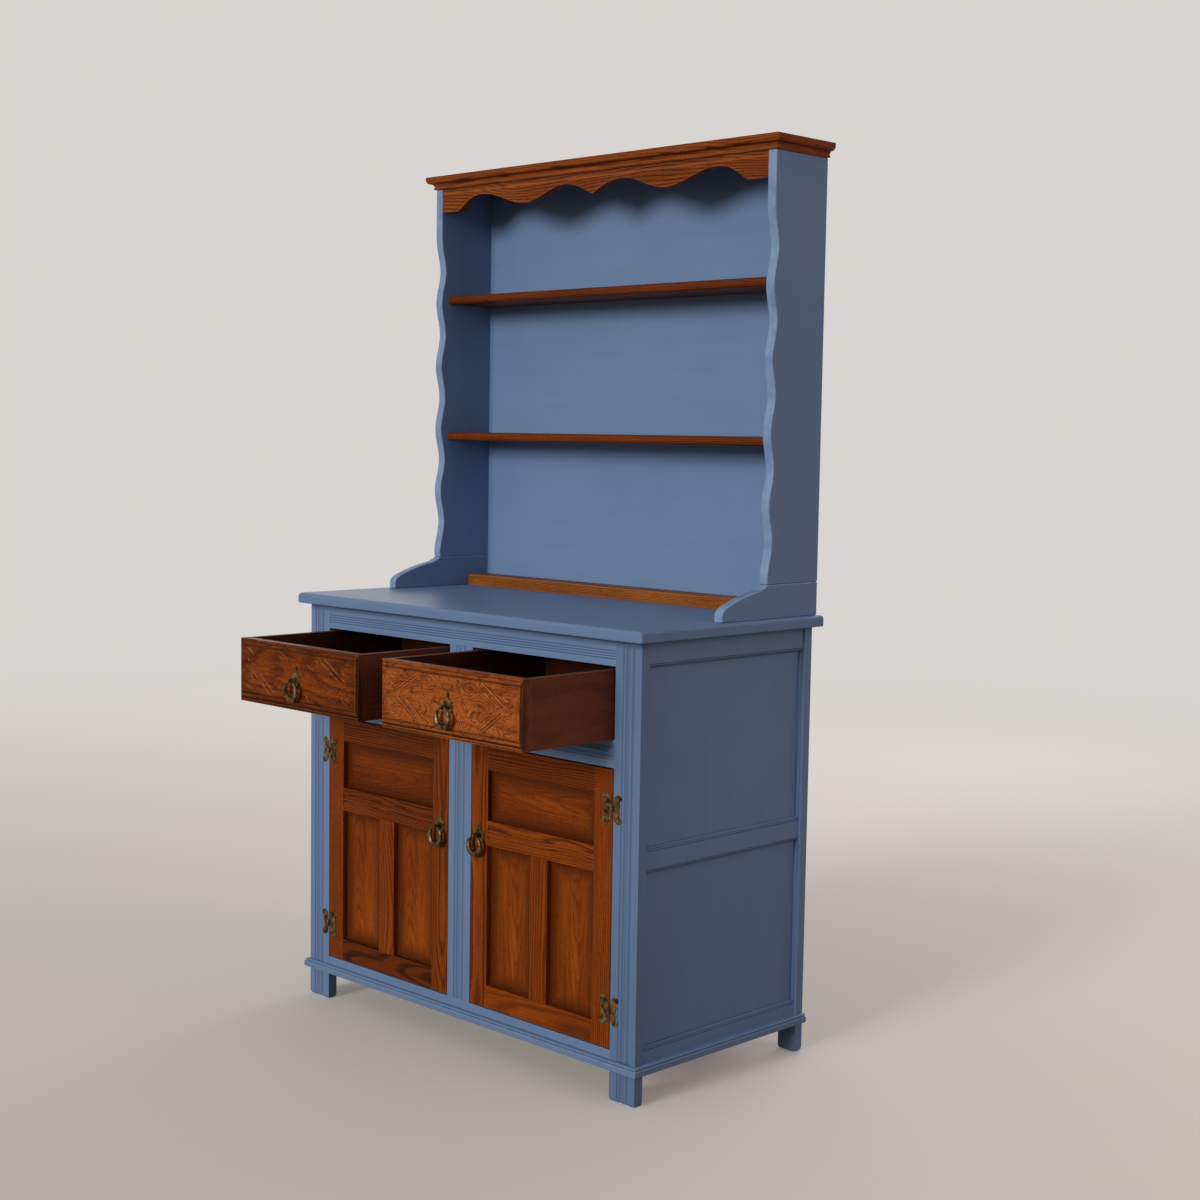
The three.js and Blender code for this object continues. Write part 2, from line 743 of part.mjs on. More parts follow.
// Drawer pulls stand a little below the middle of the front
const drawerPullDrop = 4.5;

function buildPulls() {
  const drawerLevel = (drawerTop + drawerBottom) / 2 - drawerPullDrop;
  const doorPullX = doorInner + door.stileWidth / 2;
  for (const [word, side] of [['left', -1], ['right', 1]]) {
    const drawerPlace = [side * drawerCentre, -drawerOpenAtRest, drawerLevel];
    addPiece(`drawer_${word}_pull_plate`, pullPlate(...drawerPlace), 'antiqueBrass');
    addPiece(`drawer_${word}_pull_ring`, pullRing(...drawerPlace), 'antiqueBrass');
    const doorPlace = [side * doorPullX, 0, doorMiddleTop - doorPullDrop];
    addPiece(`door_${word}_pull_plate`, pullPlate(...doorPlace), 'antiqueBrass');
    addPiece(`door_${word}_pull_ring`, pullRing(...doorPlace), 'antiqueBrass');
  }
}

// Surface hinge: two ornamental leaves on one short knuckle
const hinge = {
  frameLeafWidth: 22.5,
  doorLeafWidth: 27.5,
  leafHalfHeight: 28,
  leafThickness: 1.6,
  knuckleRadius: 3.2,
  pinRadius: 1.3,
  pinClearance: 0.4,
  pinStandoff: 3.5,
  knuckleLength: 13,
  middleLength: 4.6,
  lowerRise: 73,
  upperDrop: 73.5,
};

// Leaf outline as shares of its width from the pin and of its half height, from the knuckle round
const leafShares = [
  [0, 0.19], [0.08, 0.19], [0.12, 0.4], [0.15, 0.6], [0.22, 0.82], [0.52, 1], [0.84, 0.97], [1, 0.8],
  [0.9, 0.62], [0.74, 0.5], [0.82, 0.26], [0.72, 0], [0.82, -0.28], [0.74, -0.5], [0.92, -0.64],
  [1, -0.84], [0.8, -1], [0.5, -0.97], [0.22, -0.8], [0.15, -0.58], [0.12, -0.38], [0.08, -0.24],
  [0, -0.24],
];

const hingeX = (doorOuter + openingEdge) / 2;

function hingeLeaf(direction, isFrameLeaf) {
  const width = isFrameLeaf ? hinge.frameLeafWidth : hinge.doorLeafWidth;
  const outline = leafShares.map(([u, v]) => [direction * u * width, v * hinge.leafHalfHeight]);
  const plate = alongY(outline, -hinge.leafThickness, 0);
  const barrel = (radius, z0, z1) => {
    const tube = new THREE.CylinderGeometry(radius, radius, z1 - z0, 14);
    return tube.rotateX(Math.PI / 2).translate(0, -hinge.pinStandoff, (z0 + z1) / 2);
  };
  const end = hinge.knuckleLength / 2;
  const middle = hinge.middleLength / 2;
  const clear = hinge.knuckleRadius + touchGap;
  const notch = (z0, z1) => block(-clear, clear, -hinge.pinStandoff - clear, overrun, z0, z1);
  if (isFrameLeaf) {
    const body = joined([
      plate, barrel(hinge.knuckleRadius, middle, end), barrel(hinge.knuckleRadius, -end, -middle),
    ]);
    const cut = cutFrom(body, [notch(-middle - touchGap, middle + touchGap)]);
    return joined([cut, barrel(hinge.pinRadius, -end, end)]);
  }
  const body = joined([plate, barrel(hinge.knuckleRadius, -middle, middle)]);
  return cutFrom(body, [
    notch(middle, end + overrun + hinge.leafHalfHeight),
    notch(-end - overrun - hinge.leafHalfHeight, -middle),
    barrel(hinge.pinRadius + hinge.pinClearance, -end, end),
  ]);
}

function buildHinges() {
  for (const [word, side] of [['left', -1], ['right', 1]]) {
    const levels = [['upper', doorTop - hinge.upperDrop], ['lower', doorBottom + hinge.lowerRise]];
    for (const [place, level] of levels) {
      const frameLeaf = hingeLeaf(side, true).translate(side * hingeX, 0, level);
      addPiece(`hinge_${word}_${place}_frame_leaf`, frameLeaf, 'antiqueBrass');
      const doorLeaf = hingeLeaf(-side, false).translate(side * hingeX, 0, level);
      addPiece(`hinge_${word}_${place}_door_leaf`, doorLeaf, 'antiqueBrass');
    }
  }
}

// Rack sides: straight at the head, then a row of shallow hollows down to the foot
const rackWave = {
  straightHead: 113.4,
  tail: 10,
  easeLength: 4,
  depth: 11.5,
  count: 5,
  crestStep: 1,
  footCrest: 2.5,
};

const footSeam = worktopTop + rackFootHeight;

// Front edge of a side from its head down to the seam, as [y, z]
function sideEdge() {
  const top = rackTop - rackWave.straightHead;
  const pitch = (top - footSeam - rackWave.tail) / rackWave.count;
  const crest = rackFront + rackWave.crestStep;
  const steps = 2 * waveSteps * rackWave.count;
  const waves = Array.from({ length: steps + 1 }, (_, k) => {
    const hollow = (1 - Math.cos((Math.PI * k) / waveSteps)) / 2;
    return [crest + rackWave.depth * hollow, top - (pitch * k) / (2 * waveSteps)];
  });
  return [[rackFront, rackTop], [rackFront, top + rackWave.easeLength], ...waves];
}

// Foot: from the seam a hollow sweep runs forward to a rounded toe, as shares of its reach and its height
const footShares = [
  [0.06, 0.92], [0.165, 0.84], [0.39, 0.756], [0.6, 0.644], [0.74, 0.555], [0.83, 0.49], [0.9, 0.43],
  [0.96, 0.35], [0.99, 0.28], [1, 0.2],
];

function buildRackSides() {
  const seamFront = rackFront + rackWave.footCrest;
  const toe = rackBack - rackFootDepth;
  const sweep = footShares.map(([u, v]) => [
    seamFront + (toe - seamFront) * u, worktopTop + rackFootHeight * v,
  ]);
  const sideOutline = [...sideEdge(), [seamFront, footSeam], [rackBack, footSeam], [rackBack, rackTop]];
  const footOutline = [
    [rackBack, worktopTop], [rackBack, footSeam], [seamFront, footSeam], ...sweep, [toe, worktopTop],
  ];
  for (const [word, side] of [['left', -1], ['right', 1]]) {
    const x0 = side > 0 ? rackInner : -halfRack;
    const x1 = side > 0 ? halfRack : -rackInner;
    addPiece(`rack_side_${word}`, alongX(sideOutline, x0, x1), 'bluePaint');
    addPiece(`rack_foot_${word}`, alongX(footOutline, x0, x1), 'bluePaint');
  }
}

// Rack shelves, back, top, frieze, cornice and plate rail
const rackInside = {
  backThickness: 9,
  backSetback: 1,
  topThickness: 18,
  friezeThickness: 18,
  friezeSetback: 2,
  friezeEndDrop: 52,
  friezeGrooveDrop: 9,
  friezeGrooveWidth: 2.2,
  friezeGrooveDepth: 1.8,
};

const rackPanelBack = rackBack - rackInside.backSetback;
const rackPanelFront = rackPanelBack - rackInside.backThickness;

function rackShelf(level) {
  const half = rackShelfThickness / 2;
  const nose = rackPanelFront - rackShelfDepth + half;
  const middle = level - half;
  const outline = [
    [rackPanelFront, level],
    ...arcPoints(nose, middle, half, half, Math.PI / 2, 1.5 * Math.PI, roundSteps),
    [rackPanelFront, level - rackShelfThickness],
  ];
  return alongX(outline, -rackInner, rackInner);
}

// Lower edge of the frieze from its end to the middle: places from the middle, rises over the end level
const frieze = {
  endFlat: 53,
  crestRise: 32,
  troughRise: 3,
  cuspRise: 6,
};

// Crests and trough of the lower edge, as shares of the half length
const friezeShares = { outerCrest: 0.7186, trough: 0.4333, innerCrest: 0.175 };

// Run next to the end, as shares of its length and of the crest's rise
const bracketShares = [
  [0.06, 0.08], [0.13, 0.19], [0.2, 0.32], [0.27, 0.44], [0.34, 0.55], [0.41, 0.65], [0.49, 0.75],
  [0.57, 0.84], [0.66, 0.91], [0.76, 0.96], [0.87, 0.99],
];

function friezeHalf() {
  const base = rackTop - rackInside.friezeEndDrop;
  const run = (x0, x1, z0, z1, ease) => Array.from({ length: friezeSteps }, (_, k) => {
    const share = (k + 1) / friezeSteps;
    return [x0 + (x1 - x0) * share, z0 + (z1 - z0) * ease(share)];
  });
  const smooth = (share) => (1 - Math.cos(Math.PI * share)) / 2;
  const easeIn = (share) => 1 - Math.cos((Math.PI * share) / 2);
  const corner = rackInner - frieze.endFlat;
  const outerCrest = rackInner * friezeShares.outerCrest;
  const troughX = rackInner * friezeShares.trough;
  const innerCrest = rackInner * friezeShares.innerCrest;
  const crest = base + frieze.crestRise;
  const trough = base + frieze.troughRise;
  const bracket = bracketShares.map(([u, v]) => [
    corner + (outerCrest - corner) * u, base + frieze.crestRise * v,
  ]);
  return [
    [rackInner, base],
    [corner, base],
    ...bracket,
    [outerCrest, crest],
    ...run(outerCrest, troughX, crest, trough, smooth),
    ...run(troughX, innerCrest, trough, crest, smooth),
    ...run(innerCrest, 0, crest, base + frieze.cuspRise, easeIn),
  ];
}

function buildFrieze() {
  const half = friezeHalf();
  const other = half.slice(0, -1).map(([x, z]) => [-x, z]).reverse();
  const outline = [[rackInner, rackTop], ...half, ...other, [-rackInner, rackTop]];
  const front = rackFront + rackInside.friezeSetback;
  const board = alongY(outline, front, front + rackInside.friezeThickness);
  const grooveTop = rackTop - rackInside.friezeGrooveDrop;
  const groove = block(
    -rackInner - overrun, rackInner + overrun, front - overrun, front + rackInside.friezeGrooveDepth,
    grooveTop - rackInside.friezeGrooveWidth, grooveTop,
  );
  addPiece('rack_frieze', cutFrom(board, [groove]), 'stainedOak');
}

// Cornice section: bead, quirk, hollow and a square head
const cornice = {
  height: 27.8,
  projection: 17.6,
  beadHeight: 5,
  beadOut: 4.5,
  quirkHeight: 1.4,
  quirkOut: 2.4,
  hollowFoot: 3.6,
  headHeight: 9,
  headStep: 1.2,
};

function buildCornice() {
  const beadTop = rackTop + cornice.beadHeight;
  const hollowLow = beadTop + cornice.quirkHeight;
  const hollowHigh = rackTop + cornice.height - cornice.headHeight;
  const hollowOut = cornice.projection - cornice.headStep - cornice.hollowFoot;
  const bead = arcPoints(
    cornice.quirkOut, rackTop + cornice.beadHeight / 2, cornice.beadOut - cornice.quirkOut,
    cornice.beadHeight / 2, -Math.PI / 2, Math.PI / 2, coveSteps,
  );
  const ogeeRise = (hollowHigh - hollowLow) / 2;
  const ogeeOut = hollowOut / 2;
  const ogeeMiddle = cornice.hollowFoot + ogeeOut;
  const ogee = [
    ...arcPoints(ogeeMiddle, hollowLow, -ogeeOut, ogeeRise, 0, Math.PI / 2, coveSteps),
    ...arcPoints(ogeeMiddle, hollowHigh, ogeeOut, ogeeRise, -Math.PI / 2, 0, coveSteps).slice(1),
  ];
  const profile = [
    [0, rackTop], ...bead,
    [cornice.quirkOut, hollowLow], ...ogee,
    [cornice.projection, hollowHigh],
    [cornice.projection, rackTop + cornice.height],
    [0, rackTop + cornice.height],
  ];
  addPiece('rack_cornice', wrappedMoulding(profile, halfRack, rackFront, rackBack), 'stainedOak');
}

const plateRail = { depth: 61.5, height: 24 };

function buildRackBody() {
  addPiece('rack_shelf_upper', rackShelf(worktopTop + upperShelfRise + rackShelfThickness), 'stainedOak');
  addPiece('rack_shelf_lower', rackShelf(worktopTop + lowerShelfRise + rackShelfThickness), 'stainedOak');
  const back = block(-rackInner, rackInner, rackPanelFront, rackPanelBack, worktopTop, rackTop);
  addPiece('rack_back_panel', back, 'bluePaint');
  const top = block(-halfRack, halfRack, rackFront, rackBack, rackTop, rackTop + rackInside.topThickness);
  addPiece('rack_top_board', top, 'bluePaint');
  buildFrieze();
  buildCornice();
  const railFront = rackPanelFront - plateRail.depth;
  const railTop = worktopTop + plateRail.height;
  const rail = block(-rackInner, rackInner, railFront, rackPanelFront, worktopTop, railTop);
  addPiece('plate_rail', rail, 'stainedOak');
}

buildFrontFrame();
buildSides();
buildPlinth();
buildWorktop();
buildInside();
buildDrawerFrames();
for (const [word, side] of [['left', -1], ['right', 1]]) {
  buildDoor(word, side);
  buildDrawer(word, side);
}
buildPulls();
buildHinges();
buildRackSides();
buildRackBody();

// The origin is on the floor under the middle of everything, with the drawers as they stand
const frontReach = drawerOpenAtRest + pull.eyeStandoff + Math.max(pull.wireBottom, pull.eyeRadius);
const backReach = Math.max(rackBack, worktopBack);
dresser.position.y = (frontReach - backReach) / 2;
dresser.updateMatrixWorld(true);

export default dresser;
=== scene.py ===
import json
from math import cos, pi, radians, sin

import bmesh
import bpy
import numpy as np
from mathutils import Matrix, Vector


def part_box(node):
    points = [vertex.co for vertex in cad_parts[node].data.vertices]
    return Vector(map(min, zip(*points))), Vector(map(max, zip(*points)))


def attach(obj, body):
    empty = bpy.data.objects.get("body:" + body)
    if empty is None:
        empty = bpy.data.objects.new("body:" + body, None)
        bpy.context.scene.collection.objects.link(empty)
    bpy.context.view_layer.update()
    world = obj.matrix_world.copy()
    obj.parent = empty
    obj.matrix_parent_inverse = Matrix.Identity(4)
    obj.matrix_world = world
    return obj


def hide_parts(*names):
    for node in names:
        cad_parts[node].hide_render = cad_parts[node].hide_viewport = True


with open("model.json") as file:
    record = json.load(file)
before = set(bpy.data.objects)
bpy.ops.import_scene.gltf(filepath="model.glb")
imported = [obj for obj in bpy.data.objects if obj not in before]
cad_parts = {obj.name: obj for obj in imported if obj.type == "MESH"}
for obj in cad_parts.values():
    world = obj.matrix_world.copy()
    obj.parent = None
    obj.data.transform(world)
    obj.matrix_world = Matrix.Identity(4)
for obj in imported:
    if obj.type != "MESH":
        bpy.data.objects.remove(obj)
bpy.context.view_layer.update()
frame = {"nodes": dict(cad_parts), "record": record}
nodes = frame["nodes"]
bodies = frame["record"]["behaviour"]["bodies"]
bodyOf = {name: body for body, members in bodies.items() for name in members}
slotOf = {name: node.data.materials[0].name for name, node in nodes.items()}
scene = bpy.context.scene
print("frame loaded:", len(nodes), "nodes")


# Studio: camera, lights, a pale floor and a pale room

studio = {
    "cameraPlace": (2.83822, -2.61069, 1.24837),
    "cameraYaw": .7784,
    "cameraPitch": -.0867,
    "cameraRoll": .0160,
    "cameraLens": 56.378,
    "floorColour": (240, 234, 228),
    "bounceColour": (128, 106, 88),
    "floorSize": 40,
    "floorRoughness": .8,
    "floorGloss": .2,
    "fadeReach": (.7, 6.5),
    "fadeShare": (.18, 1),
    "skyColour": (216, 212, 209),
    "skyStrength": .38,
    "sun": {"from": (.06, -2.2, .58), "width": 20, "strength": 1.86, "tint": (255, 250, 243)},
    "lamps": {
        "ceilingLamp": {"place": (.2, -1.9, 4.4), "aim": (0, .1, .9), "size": 2.0, "power": 4,
                        "tint": (255, 252, 247)},
        "backLamp": {"place": (-1.0, 4.6, 2.6), "aim": (0, 0, .9), "size": 3.0, "power": 50,
                     "tint": (255, 252, 250)},
        "wallLamp": {"place": (-4.4, 3.4, 1.5), "aim": (0, .2, .9), "size": 3.4, "power": 26,
                     "tint": (255, 250, 244)},
        "sideLamp": {"place": (4.4, 1.0, 2.6), "aim": (.3, .3, 1.6), "size": 2.4, "power": 32,
                     "tint": (255, 221, 205)},
    },
}


def linear(rgb):
    parts = [c / 255 for c in rgb]
    return tuple(p / 12.92 if p <= .04045 else ((p + .055) / 1.055) ** 2.4 for p in parts) + (1,)


def placeCamera():
    yaw, pitch, roll = studio["cameraYaw"], studio["cameraPitch"], studio["cameraRoll"]
    ahead = Vector((-sin(yaw) * cos(pitch), cos(yaw) * cos(pitch), sin(pitch)))
    across = Vector((cos(yaw), sin(yaw), 0))
    above = across.cross(ahead)
    right = across * cos(roll) + above * sin(roll)
    up = above * cos(roll) - across * sin(roll)
    data = bpy.data.cameras.new("photoCamera")
    data.lens = studio["cameraLens"]
    camera = bpy.data.objects.new("photoCamera", data)
    turn = Matrix((right, up, -ahead)).transposed().to_4x4()
    camera.matrix_world = Matrix.Translation(studio["cameraPlace"]) @ turn
    scene.collection.objects.link(camera)
    scene.camera = camera


def placeSun():
    sun = studio["sun"]
    data = bpy.data.lights.new("keySun", "SUN")
    data.energy = sun["strength"]
    data.angle = radians(sun["width"])
    data.color = linear(sun["tint"])[:3]
    sunObject = bpy.data.objects.new("keySun", data)
    sunObject.rotation_euler = Vector(sun["from"]).to_track_quat("Z", "Y").to_euler()
    scene.collection.objects.link(sunObject)


def placeLamps():
    for name, lamp in studio["lamps"].items():
        data = bpy.data.lights.new(name, "AREA")
        data.shape = "DISK"
        data.size = lamp["size"]
        data.energy = lamp["power"]
        data.color = linear(lamp["tint"])[:3]
        lampObject = bpy.data.objects.new(name, data)
        place = Vector(lamp["place"])
        lampObject.location = place
        lampObject.rotation_euler = (Vector(lamp["aim"]) - place).to_track_quat("-Z", "Y").to_euler()
        scene.collection.objects.link(lampObject)


# Shader maths: one wrapped socket, and a material or world that is being made

class Wire:
    def __init__(self, finish, socket):
        self.finish, self.socket = finish, socket

    def maths(self, operation, *values):
        return self.finish.node("Math", {"operation": operation}, dict(enumerate(values)))

    def __add__(self, other):
        return self.maths("ADD", self, other)

    def __sub__(self, other):
        return self.maths("SUBTRACT", self, other)

    def __mul__(self, other):
        return self.maths("MULTIPLY", self, other)

    def __truediv__(self, other):
        return self.maths("DIVIDE", self, other)

    def __pow__(self, other):
        return self.maths("POWER", self, other)

    def __rsub__(self, other):
        return self.maths("SUBTRACT", other, self)

    def __abs__(self):
        return self.maths("ABSOLUTE", self)

    def fraction(self):
        return self.maths("FRACT", self)

    def smaller(self, other):
        return self.maths("MINIMUM", self, other)

    __radd__ = __add__
    __rmul__ = __mul__


class Finish:
    def __init__(self, name, owner=None):
        self.material = owner or bpy.data.materials.new(name)
        self.material.use_nodes = True
        self.tree = self.material.node_tree
        self.tree.nodes.clear()

    def node(self, kind, settings=None, sockets=None, out=0):
        made = self.tree.nodes.new("ShaderNode" + kind)
        for key, value in (settings or {}).items():
            if key == "stops":
                ramp = made.color_ramp
                while len(ramp.elements) < len(value):
                    ramp.elements.new(.5)
                for element, (place, colour) in zip(ramp.elements, value):
                    element.position, element.color = place, colour
            else:
                setattr(made, key, value)
        for key, value in (sockets or {}).items():
            if isinstance(value, Wire):
                self.tree.links.new(value.socket, made.inputs[key])
            else:
                made.inputs[key].default_value = value
        return Wire(self, made.outputs[out]) if made.outputs else None

    def outputs(self, wire, names):
        found = wire.socket.node.outputs
        return [Wire(self, found[name]) for name in names]

    def place(self, shift=(0, 0, 0)):
        found = self.node("TexCoord", out="Object")
        return self.node("Mapping", sockets={"Vector": found, "Location": shift})

    def parts(self, vector):
        return self.outputs(self.node("SeparateXYZ", sockets={0: vector}), range(3))

    def joined(self, x, y, z):
        return self.node("CombineXYZ", sockets={0: x, 1: y, 2: z})

    def noise(self, vector, scale=1, detail=2, roughness=.5, distortion=0):
        return self.node("TexNoise", sockets={
            "Vector": vector, "Scale": scale, "Detail": detail,
            "Roughness": roughness, "Distortion": distortion})

    def blend(self, share, first, second):
        return self.node("Mix", {"data_type": "RGBA"}, {0: share, 6: first, 7: second}, 2)

    def ramp(self, share, stops):
        return self.node("ValToRGB", {"stops": stops}, {"Fac": share})

    def within(self, value, low, high, start=0, end=1):
        return self.node("MapRange", {"interpolation_type": "SMOOTHSTEP"}, {
            "Value": value, "From Min": low, "From Max": high, "To Min": start, "To Max": end})

    def attribute(self, name):
        return self.node("Attribute", {"attribute_name": name}, out="Fac")

    # Rays that meet the pale backdrop: the camera's own and those that gloss and metal send on
    def seenRays(self):
        camera = self.node("LightPath", out="Is Camera Ray")
        glossy, through = self.outputs(camera, ("Is Glossy Ray", "Is Transmission Ray"))
        return camera + glossy + through

    def bump(self, height, distance, under=None):
        sockets = {"Height": height, "Distance": distance, "Strength": 1}
        return self.node("Bump", sockets=dict(sockets, Normal=under) if under else sockets)

    def surface(self, sockets):
        shader = self.node("BsdfPrincipled", sockets=sockets)
        self.node("OutputMaterial", sockets={"Surface": shader})
        return self.material


# A pitch is a pattern's pace along the brush or grain and across it, per metre
paintLook = {
    "colour": (114, 141, 181),
    "shadeColour": (110, 137, 177),
    # worn edges, lighter also as a painted highlight
    "edgeColour": (146, 170, 204),
    # painted shade in grooves, crevices, under the worktop and towards the floor
    "paintedShadeColour": (66, 84, 118),
    "brushPitch": (9, 350),
    "streakPitch": (2.5, 60),
    "rollerPitch": 900,
    "cloudPitch": 5,
    "wearAndHighlightPitch": 38,
    "wearAndHighlightPatches": (.15, .75),
    "rimShade": .5,
    "grooveShade": .34,
    "floorReach": (.02, .6),
    "floorShade": .2,
    "roughness": .42,
    "gloss": .12,
    "brushDepth": .00003,
    "rollerDepth": .00005,
}


def bluePaint(name, axis=2, seed=0, paintedShadeShare=0):
    finish = Finish(name)
    found = finish.place(shift=(seed * .37, seed * .61, seed * .23))
    sides = finish.parts(found)
    along = sides.pop(axis)

    def brushed(pitch, roughness):
        stretched = finish.joined(along * pitch[0], sides[0] * pitch[1], sides[1] * pitch[1])
        return finish.noise(stretched, 1, 3, roughness)

    brush = brushed(paintLook["brushPitch"], .6)
    streak = brushed(paintLook["streakPitch"], .5)
    roller = finish.noise(found, paintLook["rollerPitch"], 2, .5)
    cloud = finish.noise(found, paintLook["cloudPitch"], 3, .55)
    # Edges lighter in patches: worn paint and a painted highlight
    wearAndHighlightPatches = finish.within(finish.noise(found, paintLook["wearAndHighlightPitch"], 4, .6), .30, .62, *paintLook["wearAndHighlightPatches"])
    wornAndLit = finish.attribute("edge") * wearAndHighlightPatches
    # Painted shade in grooves, along concave edges and under the worktop's overhang
    hollow = finish.attribute("hollow")
    sunk = (finish.within(hollow, .1, 1.2, 0, paintLook["rimShade"])
            + finish.within(hollow, 1.4, 2.4, 0, paintLook["grooveShade"]))
    # Painted shade towards the floor, and an even painted shade on the darker copies
    height = finish.parts(finish.place())[2]
    floorwardShade = finish.within(height, *paintLook["floorReach"], paintLook["floorShade"] + paintedShadeShare, paintedShadeShare)
    colour = finish.blend(finish.within(cloud * .6 + streak * .4, .35, .65),
                          linear(paintLook["shadeColour"]), linear(paintLook["colour"]))
    colour = finish.blend(wornAndLit, colour, linear(paintLook["edgeColour"]))
    for share in (sunk, floorwardShade):
        colour = finish.blend(share, colour, linear(paintLook["paintedShadeColour"]))
    brushMarks = finish.bump(brush, paintLook["brushDepth"])
    return finish.surface({
        "Base Color": colour,
        "Roughness": paintLook["roughness"] + (cloud - .5) * .12 + (roller - .5) * .06 - wornAndLit * .08,
        "Normal": finish.bump(roller, paintLook["rollerDepth"], brushMarks),
        "Specular IOR Level": paintLook["gloss"]})


oakLook = {
    "light": (168, 84, 22),
    "middle": (118, 52, 9),
    "dark": (46, 18, 4),
    # worn edges and carved crests, lighter also as a painted highlight
    "wornAndLit": (206, 132, 76),
    # painted shade of the front's mouldings, and the darker depth of the carved cuts
    "hollow": (40, 14, 3),
    "ringPitch": .0034,
    "swayPitch": (1.8, 7),
    "waverPitch": (5, 45),
    "porePitch": (60, 900),
    "fleckPitch": (95, 430),
    "streakPitch": (7, 260),
    "cloudPitch": (3, 14),
    "swirlPitch": (9, 26, 9),
    "crestHighlightPitch": 60,
    "ringShade": .42,
    "poreShade": .14,
    "fleckShade": .16,
    "streakShade": .62,
    "swirls": 11,
    "roughness": .4,
    "poreDepth": .00018,
    "gloss": .06,
}
panelLook = dict(oakLook, ringPitch=.0021)
carvedLook = dict(oakLook, light=(190, 104, 48), middle=(138, 68, 26))
railLook = dict(oakLook, light=(186, 114, 54), middle=(136, 78, 32), dark=(60, 28, 10))
friezeLook = dict(oakLook, light=(176, 96, 44), middle=(128, 62, 24), dark=(52, 22, 8))
drawerLook = dict(oakLook, light=(122, 64, 39), middle=(102, 52, 31), dark=(66, 32, 20), wornAndLit=(164, 114, 92),
                  ringPitch=.006, roughness=.5, poreDepth=.00008, gloss=.12)
# Painted shade: a darker look for the drawers' insides and bottoms
drawerInsideShaded = dict(drawerLook, light=(80, 36, 18), middle=(62, 27, 12), dark=(40, 17, 7))
innerLook = dict(oakLook, light=(186, 148, 104), middle=(160, 122, 82), dark=(112, 82, 54),
                 wornAndLit=(200, 170, 128), ringPitch=.0045, roughness=.7, poreDepth=.0001)


# axis is the grain's direction and across the board's wide one, as 0, 1 or 2 for x, y or z.
# The border darkening is a box, the reach of the darkening inside its border, and its amount.
def stainedOak(name, axis=0, across=2, centre=0, depth=.07, tilt=.02, seed=0, tone=1, contrast=1,
               look=oakLook, rubAndHighlight=.4, mottle=.6, darkerBorder=None, figure=0):
    finish = Finish(name)
    found = finish.place()
    sides = finish.parts(found)
    shift = seed * 1.37
    along = sides[axis] + shift
    wide = sides[across] - centre
    thick = sides[3 - axis - across]

    def drawn(kind, detail, roughness, offset=seed, distortion=0):
        pitch = look[kind + "Pitch"]
        stretched = finish.joined(along * pitch[0], wide * pitch[1], thick * pitch[-1] + offset)
        return finish.noise(stretched, 1, detail, roughness, distortion)

    sway = drawn("sway", 2, .5) - .5
    waver = drawn("waver", 2, .5) - .5
    acrossPith = wide + sway * .030
    fromPith = thick + depth + (along - shift) * tilt + sway * .035
    radius = (acrossPith * acrossPith + fromPith * fromPith) ** .5
    year = (radius / look["ringPitch"] + waver * .7).fraction()
    early = finish.within(year, 0, .10) * finish.within(year, .22, .62, 1, 0)
    poreMask = finish.within(drawn("pore", 3, .7, offset=0), .50, .66)
    fleckMask = finish.within(drawn("fleck", 2, .6), .54, .68)
    streak = drawn("streak", 4, .62, offset=0)
    cloud = drawn("cloud", 3, .55)
    darkness = (early * (look["ringShade"] * contrast) + poreMask * (look["poreShade"] + early * .34)
                + fleckMask * look["fleckShade"] + (streak - .5) * look["streakShade"]
                + (cloud - .5) * mottle)
    if figure:
        contour = (drawn("swirl", 2, .45, distortion=.8) * look["swirls"]).fraction() - .5
        darkness = darkness + finish.within(abs(contour), 0, .13, figure, 0)
    stops = [(place, linear(look[key])) for place, key in ((0, "light"), (.42, "middle"), (1, "dark"))]
    colour = finish.ramp(darkness * .85 + (.38 / tone - .12 * contrast), stops)
    if darkerBorder:
        lo, hi, reach, amount = darkerBorder
        gaps = [(hi[k] - lo[k]) / 2 - abs(sides[k] - (lo[k] + hi[k]) / 2) for k in (axis, across)]
        border = gaps[0].smaller(gaps[1]) + (cloud - .5) * reach * 1.2
        colour = finish.blend(finish.within(border, 0, reach, amount, 0), colour, linear(look["dark"]))
    # Painted highlight on the carved ribs' crests; edges lighter as wear and as a painted highlight
    crest = finish.attribute("crest")
    crestHighlightPatches = finish.within(finish.noise(found, look["crestHighlightPitch"], 3, .6), .38, .62, .1, .75)
    colour = finish.blend(finish.attribute("edge") * rubAndHighlight + crest * crestHighlightPatches, colour, linear(look["wornAndLit"]))
    # Painted shade in the front's quirk, cove and fillet; carved cuts darker with their depth
    sunk = finish.within(finish.attribute("hollow"), .18, .8, 0, .82)
    height = 1 - early * .35 - poreMask * (.25 + early * .6)
    return finish.surface({
        "Base Color": finish.blend(sunk, colour, linear(look["hollow"])),
        "Roughness": look["roughness"] + poreMask * .22 + (cloud - .5) * .1 - crest * .12,
        "Normal": finish.bump(height, look["poreDepth"]),
        "Specular IOR Level": look["gloss"]})


brassLook = {
    "bright": (184, 158, 110),
    "middle": (116, 92, 58),
    "dark": (52, 38, 24),
    "cloudPitch": 90,
    "pitPitch": 900,
    "pitDepth": .0003,
    "roughness": .40,
}


